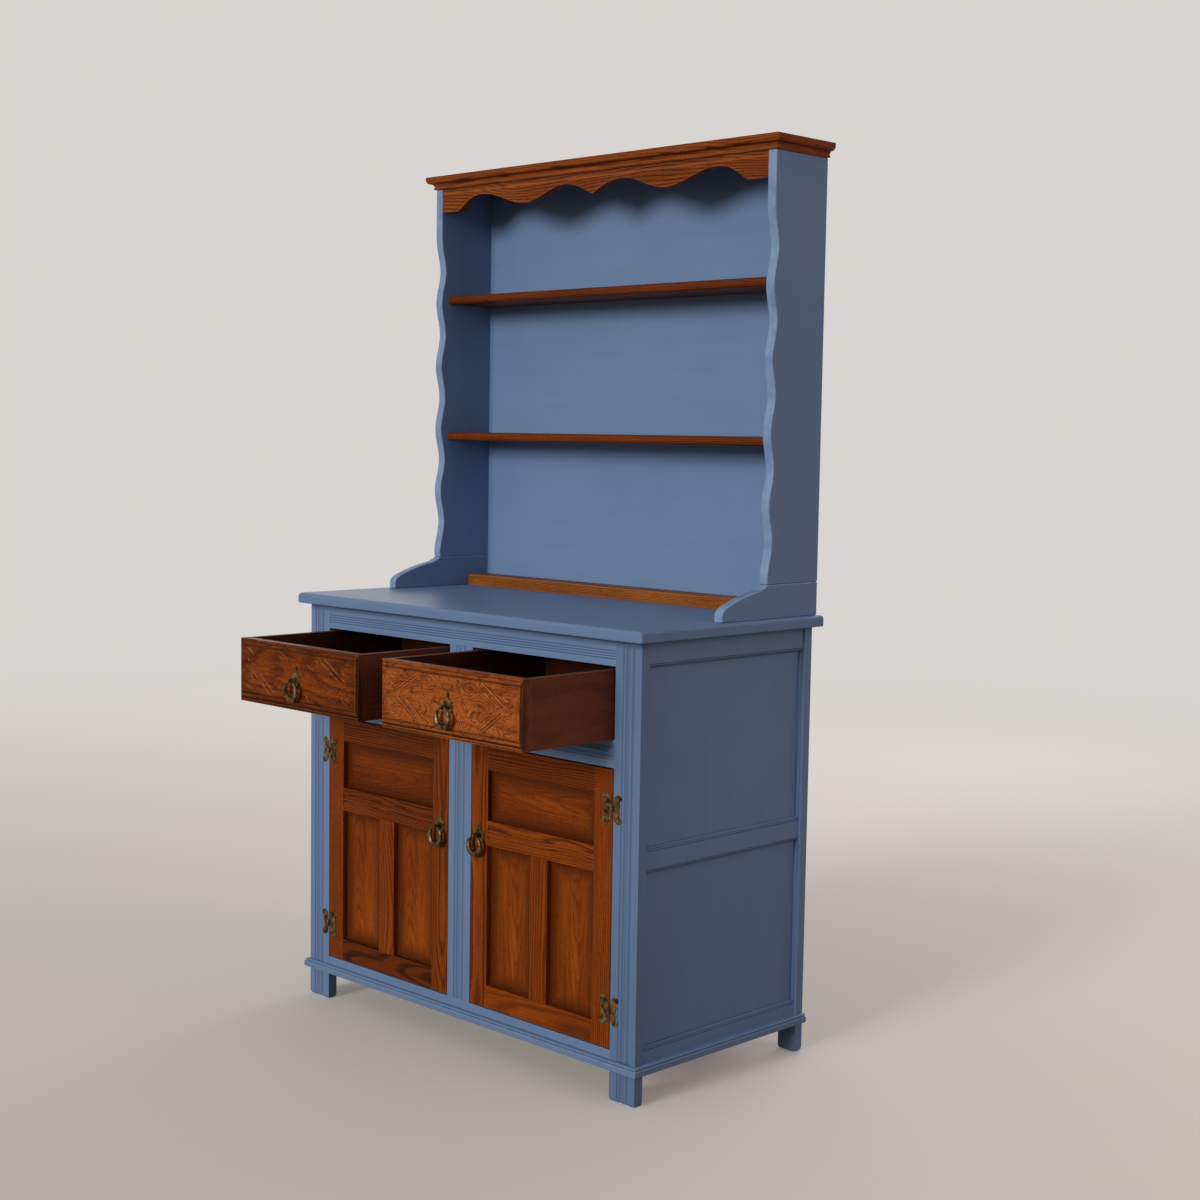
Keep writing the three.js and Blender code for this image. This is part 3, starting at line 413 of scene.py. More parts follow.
def antiqueBrass(name):
    finish = Finish(name)
    found = finish.place()
    cloud = finish.noise(found, brassLook["cloudPitch"], 4, .6)
    pits = finish.noise(found, brassLook["pitPitch"], 3, .6)
    edge = finish.attribute("edge")
    share = finish.within(cloud, .32, .68)
    stops = [(place, linear(brassLook[key])) for place, key in ((0, "dark"), (.55, "middle"), (1, "bright"))]
    # Edges lighter, as rubbed brass and as a painted highlight
    return finish.surface({
        "Base Color": finish.ramp(share * .75 + edge * .45 - .05, stops),
        "Metallic": 1.0,
        "Roughness": brassLook["roughness"] + (1 - share) * .25 - edge * .12,
        "Normal": finish.bump(pits * .5 + cloud * .5, brassLook["pitDepth"])})


# Pieces: copies of the frame's nodes with soft edges

pieceMaking = {
    "mergeReach": 1e-5,
    "flatAngle": .6,
    "edgeAngle": 32,
    "edgeSegments": 2,
    # share of the painted highlight on front faces
    "paintedHighlightFront": .8,
}


def linked(name, bm, body, materials, smooth=34, finer=0):
    mesh = bpy.data.meshes.new(name)
    bm.to_mesh(mesh)
    bm.free()
    piece = bpy.data.objects.new(name, mesh)
    scene.collection.objects.link(piece)
    for material in materials:
        mesh.materials.append(material)
    mesh.shade_smooth()
    mesh.set_sharp_from_angle(angle=radians(smooth))
    if finer:
        rounder = piece.modifiers.new("rounder", "SUBSURF")
        rounder.levels = rounder.render_levels = finer
    else:
        steady = piece.modifiers.new("steadyNormals", "WEIGHTED_NORMAL")
        steady.keep_sharp = True
    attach(piece, body)
    return piece


def mergedCopy(name):
    bm = bmesh.new()
    bm.from_mesh(nodes[name].data)
    bmesh.ops.remove_doubles(bm, verts=bm.verts, dist=pieceMaking["mergeReach"])
    bmesh.ops.dissolve_limit(bm, angle_limit=radians(pieceMaking["flatAngle"]),
                             verts=bm.verts, edges=bm.edges)
    return bm


def layerOf(items, name):
    return items.layers.float.get(name) or items.layers.float.new(name)


def cutThrough(bm, point, direction, reach=1e-6):
    bmesh.ops.bisect_plane(bm, geom=bm.verts[:] + bm.edges[:] + bm.faces[:],
                           plane_co=point, plane_no=direction, dist=reach)


def roundEdges(bm, width, keep=None):
    chosen = [edge for edge in bm.edges
              if len(edge.link_faces) == 2 and edge.calc_face_angle(0) >= radians(pieceMaking["edgeAngle"])
              and (keep is None or keep(edge))]
    layer = layerOf(bm.faces, "edge")
    if chosen:
        made = bmesh.ops.bevel(bm, geom=chosen, offset=width, offset_type="OFFSET",
                               segments=pieceMaking["edgeSegments"], profile=.5, affect="EDGES",
                               clamp_overlap=True, material=-1)
        for face in made["faces"]:
            face[layer] = 1


# Painted shade of a groove against its depth: in mm for the reeded band's rims, coves and ridge,
# and as lowest depth, highest depth and darkness for the top rail's lines and the side's quirks
grooveShade = {
    "band": ((0, .3, .6, 1.2, 1.9, 2.5, 2.8, 3.05, 3.3, 3.4), (0, .8, 1.5, .6, 0, .35, .8, 1.6, 1.6, 0)),
    "lines": [(.001, .002, 3)],
    "side": [(.0065, .0071, 3), (.0142, .0152, 3), (.0053, .0057, 1.5)],
}
creviceShade = {"angle": 14, "amount": 1}
topShade = {"full": .006, "reach": .017, "slack": .0005, "depth": .004, "amount": 1.8}


# Painted shade in the grooves, darker with their depth behind the front, or behind a side's outer face
def shadeGrooves(bm, kind):
    layer = layerOf(bm.verts, "hollow")
    front = min(v.co.y for v in bm.verts)
    outside = max(abs(v.co.x) for v in bm.verts)
    for vert in bm.verts:
        depth = outside - abs(vert.co.x) if kind == "side" else vert.co.y - front
        if kind == "band":
            vert[layer] = np.interp(depth * 1000, *grooveShade[kind])
        else:
            met = [amount for low, high, amount in grooveShade[kind] if low < depth < high]
            vert[layer] = max(met, default=0)


# Painted shade along concave edges
def shadeCrevices(bm):
    layer = layerOf(bm.verts, "hollow")
    for edge in bm.edges:
        if len(edge.link_faces) == 2 and edge.calc_face_angle_signed(0) < -radians(creviceShade["angle"]):
            for vert in edge.verts:
                vert[layer] = creviceShade["amount"]


# Painted shadow of the worktop on the frame's upper end
def shadeTop(bm):
    layer = layerOf(bm.verts, "hollow")
    top = max(v.co.z for v in bm.verts)
    for drop in (topShade["full"], topShade["reach"]):
        cutThrough(bm, (0, 0, top - drop), (0, 0, 1))
    front = min(v.co.y for v in bm.verts)
    for vert in bm.verts:
        drop, sunk = top - vert.co.z, vert.co.y - front
        if drop < topShade["full"] + topShade["slack"] and sunk < topShade["depth"]:
            vert[layer] = max(vert[layer], topShade["amount"])


footWear = {"levels": (.0025, .008), "below": .006, "sole": .001, "insets": (.0042, .0014)}


# A foot's lower end is rounded by wear
def wornFoot(bm):
    for level in footWear["levels"]:
        cutThrough(bm, (0, 0, level), (0, 0, 1))
    low = [v for v in bm.verts if v.co.z < footWear["below"]]
    middle = [(min(v.co[k] for v in low) + max(v.co[k] for v in low)) / 2 for k in (0, 1)]
    half = [(max(v.co[k] for v in low) - min(v.co[k] for v in low)) / 2 for k in (0, 1)]
    for vert in low:
        inset = footWear["insets"][0 if vert.co.z < footWear["sole"] else 1]
        for k in (0, 1):
            vert.co[k] = middle[k] + (vert.co[k] - middle[k]) * (1 - inset / half[k])


# shape changes the copy first, groove names its painted shade, cuts part it for the materials that
# sort picks by place and direction, and the last argument picks faces for a painted highlight
def softened(name, materials, width, keep=None, sort=None, cuts=(), carve=0, groove=None,
             smooth=34, finer=0, shape=None, wornAndLit=None):
    bm = mergedCopy(name)
    if shape:
        shape(bm)
    if groove == "crevices":
        shadeCrevices(bm)
    elif groove:
        shadeGrooves(bm, groove)
    if groove and ("stile" in name or "top_rail" in name):
        shadeTop(bm)
    for point, direction in cuts:
        cutThrough(bm, point, direction)
    if width:
        roundEdges(bm, width, keep)
    if wornAndLit:
        layer = layerOf(bm.faces, "edge")
        for face in bm.faces:
            if wornAndLit(face.normal):
                face[layer] = pieceMaking["paintedHighlightFront"]
    if carve:
        carveFront(bm, carve)
    if sort:
        for face in bm.faces:
            face.material_index = sort(face.calc_center_median(), face.normal)
    piece = linked(name + "_finished", bm, bodyOf[name], materials, smooth, finer)
    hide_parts(name)


# Carved drawer fronts. Strokes are in mm from the pull outwards and up from the field's middle,
# and each half of the field carries them mirrored.
carving = {
    "step": .00105,
    "margin": 2,
    "fade": 2.5,
    "lip": (1.4, 1.3, 1.5),  # place, width and depth of the groove inside the field's border
    "ribs": [  # points, half width, depth
        ([(90, 46), (110, 35), (136, 19), (163, 4)], 2.6, 1.5),
        ([(82, 38), (102, 26), (124, 13), (147, 1)], 2.1, 1.3),
        ([(150, -3), (130, -17), (106, -34), (88, -47)], 2.7, 1.6),
        ([(128, -4), (110, -16), (92, -29), (76, -42)], 2.2, 1.4),
        ([(84, 33), (79, 43), (62, 46), (44, 42), (36, 33), (42, 24), (58, 21), (72, 24)], 2.3, 1.3),
        ([(72, 31), (66, 38), (54, 37), (50, 30), (58, 28)], 1.9, 1.2),
        ([(178, 45), (162, 43), (149, 34), (152, 23), (163, 19), (168, 26), (160, 30)], 2.2, 1.3),
        ([(34, 10), (40, 2), (46, -6), (41, -14)], 2.3, 1.5),
        ([(30, -30), (37, -40), (45, -48)], 2.3, 1.5),
        ([(176, -12), (164, -9), (152, -15), (148, -27), (156, -37), (168, -34), (166, -25)], 2.1, 1.3),
    ],
    "cuts": [
        ([(122, 5), (104, 14), (84, 17), (64, 13), (48, 15)], 1.1, .9),
        ([(118, 0), (100, 9), (82, 12), (64, 8), (50, 9)], 1.1, .9),
        ([(112, -3), (96, 4), (80, 7), (66, 3), (54, 3)], 1.1, .9),
        ([(100, -4), (88, -1), (80, 1), (70, -2), (62, -2)], 1.0, .8),
        ([(98, -8), (86, -9), (80, -17), (86, -25), (94, -22), (92, -15)], 1.5, 1.5),
        ([(78, -8), (68, -10), (62, -19), (68, -29), (77, -26), (74, -18)], 1.5, 1.5),
        ([(60, -6), (52, -11), (49, -20), (55, -27)], 1.4, 1.4),
        ([(66, -34), (60, -42), (52, -47)], 1.3, 1.1),
        ([(56, -32), (50, -39), (42, -42)], 1.2, 1.0),
        ([(128, 46), (133, 38), (143, 31), (142, 23)], 1.3, 1.2),
        ([(140, 48), (143, 42), (150, 41)], 1.2, 1.0),
        ([(118, 44), (124, 34), (134, 27)], 1.2, 1.0),
        ([(170, 12), (176, 6), (172, -1), (162, -4)], 1.3, 1.1),
        ([(178, 14), (183, 4), (178, -5)], 1.2, 1.0),
        ([(136, -20), (134, -30), (140, -41), (150, -47)], 1.4, 1.2),
        ([(128, -28), (124, -38), (128, -47)], 1.3, 1.1),
        ([(178, -40), (170, -45), (158, -47)], 1.3, 1.1),
        ([(116, -38), (110, -44), (102, -48)], 1.2, 1.0),
        ([(22, 49), (25, 41), (23, 31), (27, 24)], 1.2, 1.0),
        ([(27, -12), (31, -19), (28, -26)], 1.2, 1.0),
        ([(104, 40), (98, 45), (100, 49)], 1.1, .9),
        ([(76, 14), (88, 24), (98, 22)], 1.2, 1.0),
    ],
    "beads": [  # place, radius
        ((160, -27), 2.6), ((61, 32), 2.2), ((136, 6), 2.2),
        ((106, -8), 1.8), ((164, 26), 1.8), ((112, 24), 1.6),
    ],
    "hollows": [  # place, spread, depth
        ((104, 4), (34, 12), .5), ((62, 33), (22, 11), .4), ((158, 32), (18, 14), .5),
        ((160, -28), (18, 16), .5), ((78, -18), (24, 14), .6), ((112, -42), (22, 8), .45),
    ],
    "ribReach": 12,
    "cutReach": 8,
    "ringGap": .6,
    "ringWidth": 1.1,
    "ringDepth": 1.2,
    "beadDepth": 1.1,
    "beadRound": 2.4,
}


def strokeLine(points, count=9):
    given = [Vector(p) for p in points]
    ends = [given[0] * 2 - given[1]] + given + [given[-1] * 2 - given[-2]]
    line = []
    for k in range(1, len(ends) - 2):
        a, b, c, d = ends[k - 1:k + 3]
        for j in range(count):
            t = j / count
            bend, twist = 2 * a - 5 * b + 4 * c - d, 3 * b - a - 3 * c + d
            line.append(.5 * (2 * b + (c - a) * t + bend * t ** 2 + twist * t ** 3))
    line.append(given[-1])
    return np.array([tuple(p) for p in line])


# Distance to a line, the share of its length passed there, and how the line leans
def nearest(at, line):
    best = np.full(len(at), 1e9)
    share, lean = np.zeros(len(at)), np.zeros(len(at))
    for k in range(len(line) - 1):
        start, run = line[k], line[k + 1] - line[k]
        length = max(run @ run, 1e-9)
        t = np.clip(((at - start) @ run) / length, 0, 1)
        away = np.hypot(*(at - start - t[:, None] * run).T)
        closer = away < best
        best[closer] = away[closer]
        share[closer] = (k + t[closer]) / (len(line) - 1)
        lean[closer] = -2 * run[0] * run[1] / length
    return best, share, lean


# Ribs stand between two grooves and get a painted highlight, strongest where they lean down to the right
def cutRib(depth, crest, at, half, points, width, amount):
    line = strokeLine(points)
    reach = carving["ribReach"]
    close = ((at > line.min(0) - reach) & (at < line.max(0) + reach)).all(1)
    away, share, lean = nearest(at[close], line)
    taper = np.clip(np.sin(pi * share) * 3, .25, 1)
    inside = amount * taper * np.clip(away / width, 0, 1) ** 1.6
    outside = amount * taper * np.exp(-((away - width) / (width * .55)) ** 2)
    depth[close] = np.where(away < width, inside, np.maximum(depth[close], outside))
    lit = np.clip(.4 + .8 * lean * half[close], .12, 1.1)
    crest[close] = np.maximum(crest[close], lit * taper * np.exp(-(away / (width * .6)) ** 2))


def cutGroove(depth, at, points, width, amount):
    line = strokeLine(points)
    reach = carving["cutReach"]
    close = ((at > line.min(0) - reach) & (at < line.max(0) + reach)).all(1)
    away, share, lean = nearest(at[close], line)
    taper = np.clip(np.sin(pi * np.clip(share * .96 + .04, 0, 1)) * 1.4, 0, 1)
    groove = amount * taper * np.exp(-(away / (width * (.5 + .5 * taper))) ** 2)
    depth[close] = np.maximum(depth[close], groove)


def carvedDepth(at, half, strength):
    depth, crest = np.zeros(len(at)), np.zeros(len(at))
    for place, spread, amount in carving["hollows"]:
        off = (at - np.array(place)) / np.array(spread)
        depth = np.maximum(depth, amount * np.exp(-(off ** 2).sum(1) ** 1.5))
    for stroke in carving["ribs"]:
        cutRib(depth, crest, at, half, *stroke)
    for stroke in carving["cuts"]:
        cutGroove(depth, at, *stroke)
    for place, radius in carving["beads"]:
        away = np.hypot(*(at - np.array(place)).T)
        off = (away - radius - carving["ringGap"]) / carving["ringWidth"]
        ring = carving["ringDepth"] * np.exp(-off ** 2)
        bead = carving["beadDepth"] * (away / radius) ** carving["beadRound"]
        depth = np.where(away < radius, bead, np.maximum(depth, ring))
    return depth * strength, crest * strength


# Quirk, cove and fillet round the field get painted shade: their depth behind the field, their height
# above the foot or below the top, and the shade's darkness
frontShade = {
    "quirk": (.0015, .0021, .9),
    "cove": (.0062, .0105, .0012, .9),
    "fillet": (.003, .0045, .002, .004, .45),
}


def shadeFrontEdge(bm, layer, face):
    foot, top = min(v.co.z for v in bm.verts), max(v.co.z for v in bm.verts)
    quirk, cove, fillet = frontShade["quirk"], frontShade["cove"], frontShade["fillet"]
    for vert in bm.verts:
        sunk, rise, drop = vert.co.y - face, vert.co.z - foot, top - vert.co.z
        if quirk[0] < sunk < quirk[1] or cove[0] < rise < cove[1] and sunk > cove[2]:
            vert[layer] = quirk[2]
        elif fillet[0] < sunk < fillet[1] and fillet[2] < drop < fillet[3]:
            vert[layer] = fillet[4]


def carveFront(bm, strength):
    layer = layerOf(bm.verts, "hollow")
    bright = layerOf(bm.verts, "crest")
    field = max((f for f in bm.faces if f.normal.y < -.999), key=lambda f: f.calc_area())
    corners = [v.co.copy() for v in field.verts]
    lo = Vector([min(c[k] for c in corners) for k in range(3)])
    hi = Vector([max(c[k] for c in corners) for k in range(3)])
    bmesh.ops.delete(bm, geom=[field], context="FACES_ONLY")
    shadeFrontEdge(bm, layer, lo.y)
    size, middle = hi - lo, (lo + hi) / 2
    across, up = round(size.x / carving["step"]), round(size.z / carving["step"])
    made = bmesh.ops.create_grid(bm, x_segments=across, y_segments=up, size=.5)["verts"]
    stretch = Matrix.Diagonal((size.x, size.z, 1, 1))
    bmesh.ops.transform(bm, matrix=Matrix.Translation(middle) @ Matrix.Rotation(pi / 2, 4, "X") @ stretch,
                        verts=made)
    flat = np.array([(abs(v.co.x - middle.x), v.co.z - middle.z) for v in made]) * 1000
    half = np.sign([v.co.x - middle.x for v in made])
    depth, crest = carvedDepth(flat, half, strength)
    fromEnd, fromEdge = size.x * 500 - flat[:, 0], size.z * 500 - np.abs(flat[:, 1])
    inset = np.minimum(fromEnd, fromEdge)
    fade = np.clip((inset - carving["margin"]) / carving["fade"], 0, 1)
    place, width, amount = carving["lip"]
    lip = amount * np.exp(-((fromEdge - place) / width) ** 2)
    atEdge = np.clip(inset / .6, 0, 1)
    # Cuts darker with their depth; the ribs' crests carry a painted highlight
    for vert, cut, shine in zip(made, (depth * fade + lip) * atEdge, crest * fade):
        vert.co.y += cut / 1000
        vert[layer] = min(max(cut - .1, 0) / 1.8, 1)
        vert[bright] = shine


def placeFloor():
    finish = Finish("paleFloor")
    reach = finish.node("VectorMath", {"operation": "LENGTH"}, {0: finish.place()}, "Value")
    seen = finish.seenRays()
    tint = finish.blend(seen, linear(studio["bounceColour"]), linear(studio["floorColour"]))
    body = finish.node("BsdfPrincipled", sockets={
        "Base Color": tint, "Roughness": studio["floorRoughness"],
        "Specular IOR Level": studio["floorGloss"]})
    glow = finish.node("Emission", sockets={"Color": linear(studio["skyColour"])})
    share = finish.within(reach, *studio["fadeReach"], *studio["fadeShare"]) * seen
    mixed = finish.node("MixShader", sockets={0: share, 1: body, 2: glow})
    finish.node("OutputMaterial", sockets={"Surface": mixed})
    bm = bmesh.new()
    bmesh.ops.create_grid(bm, x_segments=1, y_segments=1, size=studio["floorSize"])
    mesh = bpy.data.meshes.new("paleFloor")
    bm.to_mesh(mesh)
    bm.free()
    mesh.materials.append(finish.material)
    paleFloor = bpy.data.objects.new("paleFloor", mesh)
    scene.collection.objects.link(paleFloor)


def placeRoom():
    scene.world = bpy.data.worlds.new("paleRoom")
    room = Finish("paleRoom", scene.world)
    sky = linear(studio["skyColour"])
    light = room.node("Background", sockets={"Color": sky, "Strength": studio["skyStrength"]})
    seen = room.node("Background", sockets={"Color": sky})
    mixed = room.node("MixShader", sockets={0: room.seenRays(), 1: light, 2: seen})
    room.node("OutputWorld", sockets={"Surface": mixed})


scene.view_settings.view_transform = "Standard"
placeCamera()
placeSun()
placeLamps()
placeFloor()
placeRoom()
print("camera, lamps, floor and room placed")

paintUpright = bluePaint("bluePaintUpright", axis=2)
# Darker copies of the paint as painted shade: more for the right stile, less for the worktop
paintShaded = bluePaint("bluePaintShaded", axis=2, seed=3, paintedShadeShare=.22)
paintTop = bluePaint("bluePaintTop", axis=0, seed=1, paintedShadeShare=.12)
paintLevel = bluePaint("bluePaintLevel", axis=0, seed=1)
paintDeep = bluePaint("bluePaintDeep", axis=1, seed=2)
brass = antiqueBrass("antiqueBrass")

# Finish, width of the soft edge, kind of painted groove shade
painted = {
    "front_stile_left": (paintUpright, .0008, "band"),
    "front_stile_right": (paintShaded, .0008, "band"),
    "front_top_rail": (paintLevel, .0008, "lines"),
    "front_middle_rail": (paintLevel, .0008, "band"),
    "front_bottom_rail": (paintLevel, .0008, None),
    "drawer_muntin": (paintUpright, 0, "band"),
    "door_muntin": (paintUpright, 0, "band"),
    "side_panel_left": (paintUpright, .0004, None),
    "side_panel_right": (paintUpright, .0004, None),
    "plinth_moulding": (paintLevel, .0006, "crevices"),
    "worktop": (paintTop, .0010, None),
    "rack_side_left": (paintUpright, .0026, None),
    "rack_side_right": (paintUpright, .0026, None),
    "rack_foot_left": (paintDeep, .0026, None),
    "rack_foot_right": (paintDeep, .0026, None),
    "rack_back_panel": (paintLevel, .0006, None),
    "rack_top_board": (paintLevel, .0010, None),
    "side_frame_left": (paintUpright, .0005, "side"),
    "side_frame_right": (paintUpright, .0005, "side"),
}


# Long outer edges alone, so that the grooves stay crisp
def outerEdge(name):
    lo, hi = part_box(name)

    def chosen(edge):
        return any(all(abs(vert.co[k] - end[k]) < pieceMaking["mergeReach"] for vert in edge.verts)
                   for end in (lo, hi) for k in (0, 2))
    return chosen


# The rack sides' and feet's front faces are painted lighter: a painted highlight
for name, (material, width, groove) in painted.items():
    softened(name, [material], width, groove=groove,
             keep=outerEdge(name) if groove in ("band", "lines") else None,
             wornAndLit=(lambda normal: normal.y < -.3) if "rack_side" in name or "rack_foot" in name else None,
             shape=wornFoot if "stile" in name or "side_frame" in name else None)
print("painted pieces finished")

innerWood = {"depth": .35, "contrast": .5, "flat": .06, "seed": 20}
inner = ("back_top_rail", "base_back_panel", "cupboard_floor", "cupboard_shelf",
         "drawer_kicker_frame", "drawer_runner_frame")
for k, name in enumerate(inner):
    lo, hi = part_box(name)
    across = 1 if (hi - lo).z < innerWood["flat"] else 2
    softened(name, [stainedOak("innerWood_" + name, 0, across, (lo[across] + hi[across]) / 2,
                               innerWood["depth"], .02, innerWood["seed"] + k,
                               contrast=innerWood["contrast"], look=innerLook)], .0008)
print("inner pieces finished")


# Each door's frame boards: the pith's place from the line the board starts at, its depth, tilt,
# seed, tone, contrast
# The top rails' low tones are painted shade of the drawers above
doorBoards = {
    "left": {
        "innerStile": (-.012, .09, .012, 1, 1.02, .8),
        "outerStile": (-.06, .04, .008, 4, .92, .7),
        "topRail": (.02, .05, .01, 2, .66, 1),
        "middleRail": (.08, .04, .006, 5, .74, 1),
        "bottomRail": (.02, .03, .024, 6, .55, .85),
        "muntin": (.04, .05, .006, 3, .98, .7),
    },
    "right": {
        "innerStile": (.012, .035, .012, 8, .98, 1),
        "outerStile": (.06, .04, .008, 11, 1.08, .7),
        "topRail": (.02, .05, .01, 9, .68, 1),
        "middleRail": (.08, .04, .006, 12, 1.16, 1),
        "bottomRail": (.02, .03, .012, 13, 1.20, .4),
        "muntin": (.04, .05, .006, 10, 1.08, .7),
    },
}
doorFrame = {
    "stiles": {"left": ("outerStile", "innerStile"), "right": ("innerStile", "outerStile")},
    "stileWidth": .048,
    "middleRail": (.1505, .2),  # its upper and lower edge below the door's top
    "bottomRail": .0445,
    "jointReach": .001,
    "edge": .0006,
}


def finishDoorFrame(side):
    name = "door_" + side + "_frame"
    lo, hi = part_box(name)
    leftLine, rightLine = lo.x + doorFrame["stileWidth"], hi.x - doorFrame["stileWidth"]
    middleTop, middleFoot = (hi.z - drop for drop in doorFrame["middleRail"])
    bottomTop = lo.z + doorFrame["bottomRail"]
    leftStile, rightStile = doorFrame["stiles"][side]
    starts = {leftStile: lo.x, rightStile: hi.x, "topRail": hi.z, "middleRail": middleFoot,
              "bottomRail": lo.z, "muntin": (lo.x + hi.x) / 2}
    parts = list(doorBoards[side])
    boards = []
    for part, (pith, *grain) in doorBoards[side].items():
        axis, across = (0, 2) if "Rail" in part else (2, 0)
        boards.append(stainedOak(name + "_" + part, axis, across, starts[part] + pith, *grain))

    def boardOf(at, normal):
        if at.x < leftLine:
            return parts.index(leftStile)
        if at.x > rightLine:
            return parts.index(rightStile)
        if bottomTop < at.z < middleFoot:
            return parts.index("muntin")
        if at.z < bottomTop:
            return parts.index("bottomRail")
        return parts.index("middleRail" if at.z < middleTop + doorFrame["jointReach"] else "topRail")

    cuts = [((leftLine, 0, 0), (1, 0, 0)), ((rightLine, 0, 0), (1, 0, 0)),
            ((0, 0, middleFoot), (0, 0, 1)), ((0, 0, bottomTop), (0, 0, 1))]
    softened(name, boards, doorFrame["edge"], sort=boardOf, cuts=cuts)


# Each door's panels: the pith's place from a panel's middle, tilt, seed and tones
# The upper panels' lower tones are partly painted shade of the drawers above
doorPanels = {
    "left": {"pith": -.012, "tilt": -.022, "seed": 11,
             "tones": {"inner": 1.24, "outer": 1.18, "upper": .88}},
    "right": {"pith": .012, "tilt": .022, "seed": 16,
              "tones": {"inner": 1.16, "outer": 1.14, "upper": 1.02}},
}
panelOak = {"depth": .045, "contrast": .2, "mottle": 1.05, "borderDarkening": (.044, .78), "edge": .0004}


def finishPanels(side):
    door = doorPanels[side]
    for panel, tone in door["tones"].items():
        name = "door_" + side + "_" + panel + "_panel"
        lo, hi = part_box(name)
        axis, across = (0, 2) if panel == "upper" else (2, 0)
        centre = (lo[across] + hi[across]) / 2 + door["pith"]
        oak = stainedOak(name + "_oak", axis, across, centre, panelOak["depth"], door["tilt"], door["seed"],
                         tone, panelOak["contrast"], panelLook, mottle=panelOak["mottle"],
                         darkerBorder=(lo, hi, *panelOak["borderDarkening"]))
        softened(name, [oak], panelOak["edge"])


# Each drawer's front: the pith's height above the foot, its depth, tilt, seed, tone, contrast and
# look, the darkening inside its border, and how strong figure and carving are
drawerFronts = {
    "left": {"pith": .07, "grain": (.03, .024, 40, .98, .7, oakLook), "borderDarkening": (.05, .42),
             "figure": .42, "carving": .66},
    "right": {"pith": .05, "grain": (.03, .02, 43, 1.75, .3, carvedLook), "borderDarkening": (.03, .22),
              "figure": .5, "carving": 1},
}
# Seeds of each drawer's plain boards, and the grain they share: the pith's place, its depth, tilt
drawerSeeds = {
    "left": {"ends": 44, "wood": 50, "bottom": 52, "inside": 54},
    "right": {"ends": 45, "wood": 51, "bottom": 53, "inside": 55},
}
drawerBoards = {
    "sideGrain": (.7, .06, .01),
    "bottomGrain": (0, .1, .01),
    "contrast": .4,
    "frontRubAndHighlight": .85,
    "endReach": .0005,
    "frontEdge": .0006,
    "boxEdge": .0008,
    "bottomEdge": .0004,
}


def finishDrawer(side):
    seeds, contrast = drawerSeeds[side], drawerBoards["contrast"]

    def boxWood(name, part, look=drawerLook):
        return stainedOak(name + "_" + part, 1, 2, *drawerBoards["sideGrain"], seeds[part],
                          contrast=contrast, look=look)

    name, front = "drawer_" + side + "_front", drawerFronts[side]
    lo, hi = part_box(name)
    oak = stainedOak(name + "_oak", 0, 2, lo.z + front["pith"], *front["grain"],
                     rubAndHighlight=drawerBoards["frontRubAndHighlight"], darkerBorder=(lo, hi, *front["borderDarkening"]), figure=front["figure"])

    def frontPart(at, normal):
        reach = drawerBoards["endReach"]
        atEnd = at.x < lo.x + reach or at.x > hi.x - reach
        return 1 if abs(normal.x) > .9 and atEnd or normal.y > .5 else 0

    softened(name, [oak, boxWood(name, "ends")], drawerBoards["frontEdge"],
             sort=frontPart, carve=front["carving"])

    name = "drawer_" + side + "_box"
    middle = sum(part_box(name), Vector()) / 2

    # The box's inner faces take the darker look: painted shade
    def insideOf(at, normal):
        return 1 if abs(normal.z) < .5 and (middle - at).dot(normal) > 0 else 0

    softened(name, [boxWood(name, "wood"), boxWood(name, "inside", drawerInsideShaded)],
             drawerBoards["boxEdge"], sort=insideOf)

    name = "drawer_" + side + "_bottom"
    wood = stainedOak(name + "_wood", 0, 1, *drawerBoards["bottomGrain"], seeds["bottom"],
                      contrast=contrast, look=drawerInsideShaded)
    softened(name, [wood], drawerBoards["bottomEdge"])


for side in ("left", "right"):
    finishPanels(side)
    finishDoorFrame(side)
    finishDrawer(side)
print("doors and drawers finished")

# Wide side, the pith's place and depth, tilt, seed, width of the soft edge, tone, contrast, look
rackBoards = {
    "rack_shelf_lower": (1, .30, .05, .004, 60, .0016, .84, .6, oakLook),
    "rack_shelf_upper": (1, .28, .07, .004, 61, .0016, .84, .6, oakLook),
    "rack_frieze": (2, 1.60, .05, .004, 62, .0010, .88, 1, friezeLook),
    "rack_cornice": (2, 1.5, .12, .002, 63, .0006, 1.0, 1, friezeLook),
    "plate_rail": (1, .30, .06, .006, 64, .0014, .98, 1, railLook),
}
shelfEdge = {"tone": .60, "rubAndHighlight": .1}


def frontEdge(at, normal):
    return 1 if normal.y < -.3 else 0


for name, (across, centre, depth, tilt, seed, width, tone, contrast, look) in rackBoards.items():
    shelf = "shelf" in name
    boards = [stainedOak(name + "_oak", 0, across, centre, depth, tilt, seed, tone, contrast, look)]
    if shelf:
        boards.append(stainedOak(name + "_edge", 0, 2, 0, depth, tilt, seed + 5, shelfEdge["tone"],
                                 look=friezeLook, rubAndHighlight=shelfEdge["rubAndHighlight"]))
    softened(name, boards, width, sort=frontEdge if shelf else None)
print("rack boards finished")

brassPieces = {
    "hingePin": .4325,
    "leafScrews": ((.76, .76), (.5, 0), (.76, -.78)),  # shares of the leaf's reach and half height
    "leafScrewSize": .0021,
    "leafFace": .0016,
    "plateScrews": (.009, .0075),  # below the plate's top and above its foot
    "plateScrewSize": .0015,
    "plateFace": .0018,
    "softEdge": .0005,
    "ringSwell": .0019,
    "ringHanging": (.004, .012),  # height of the thin hanging end and of its change to the ring
}


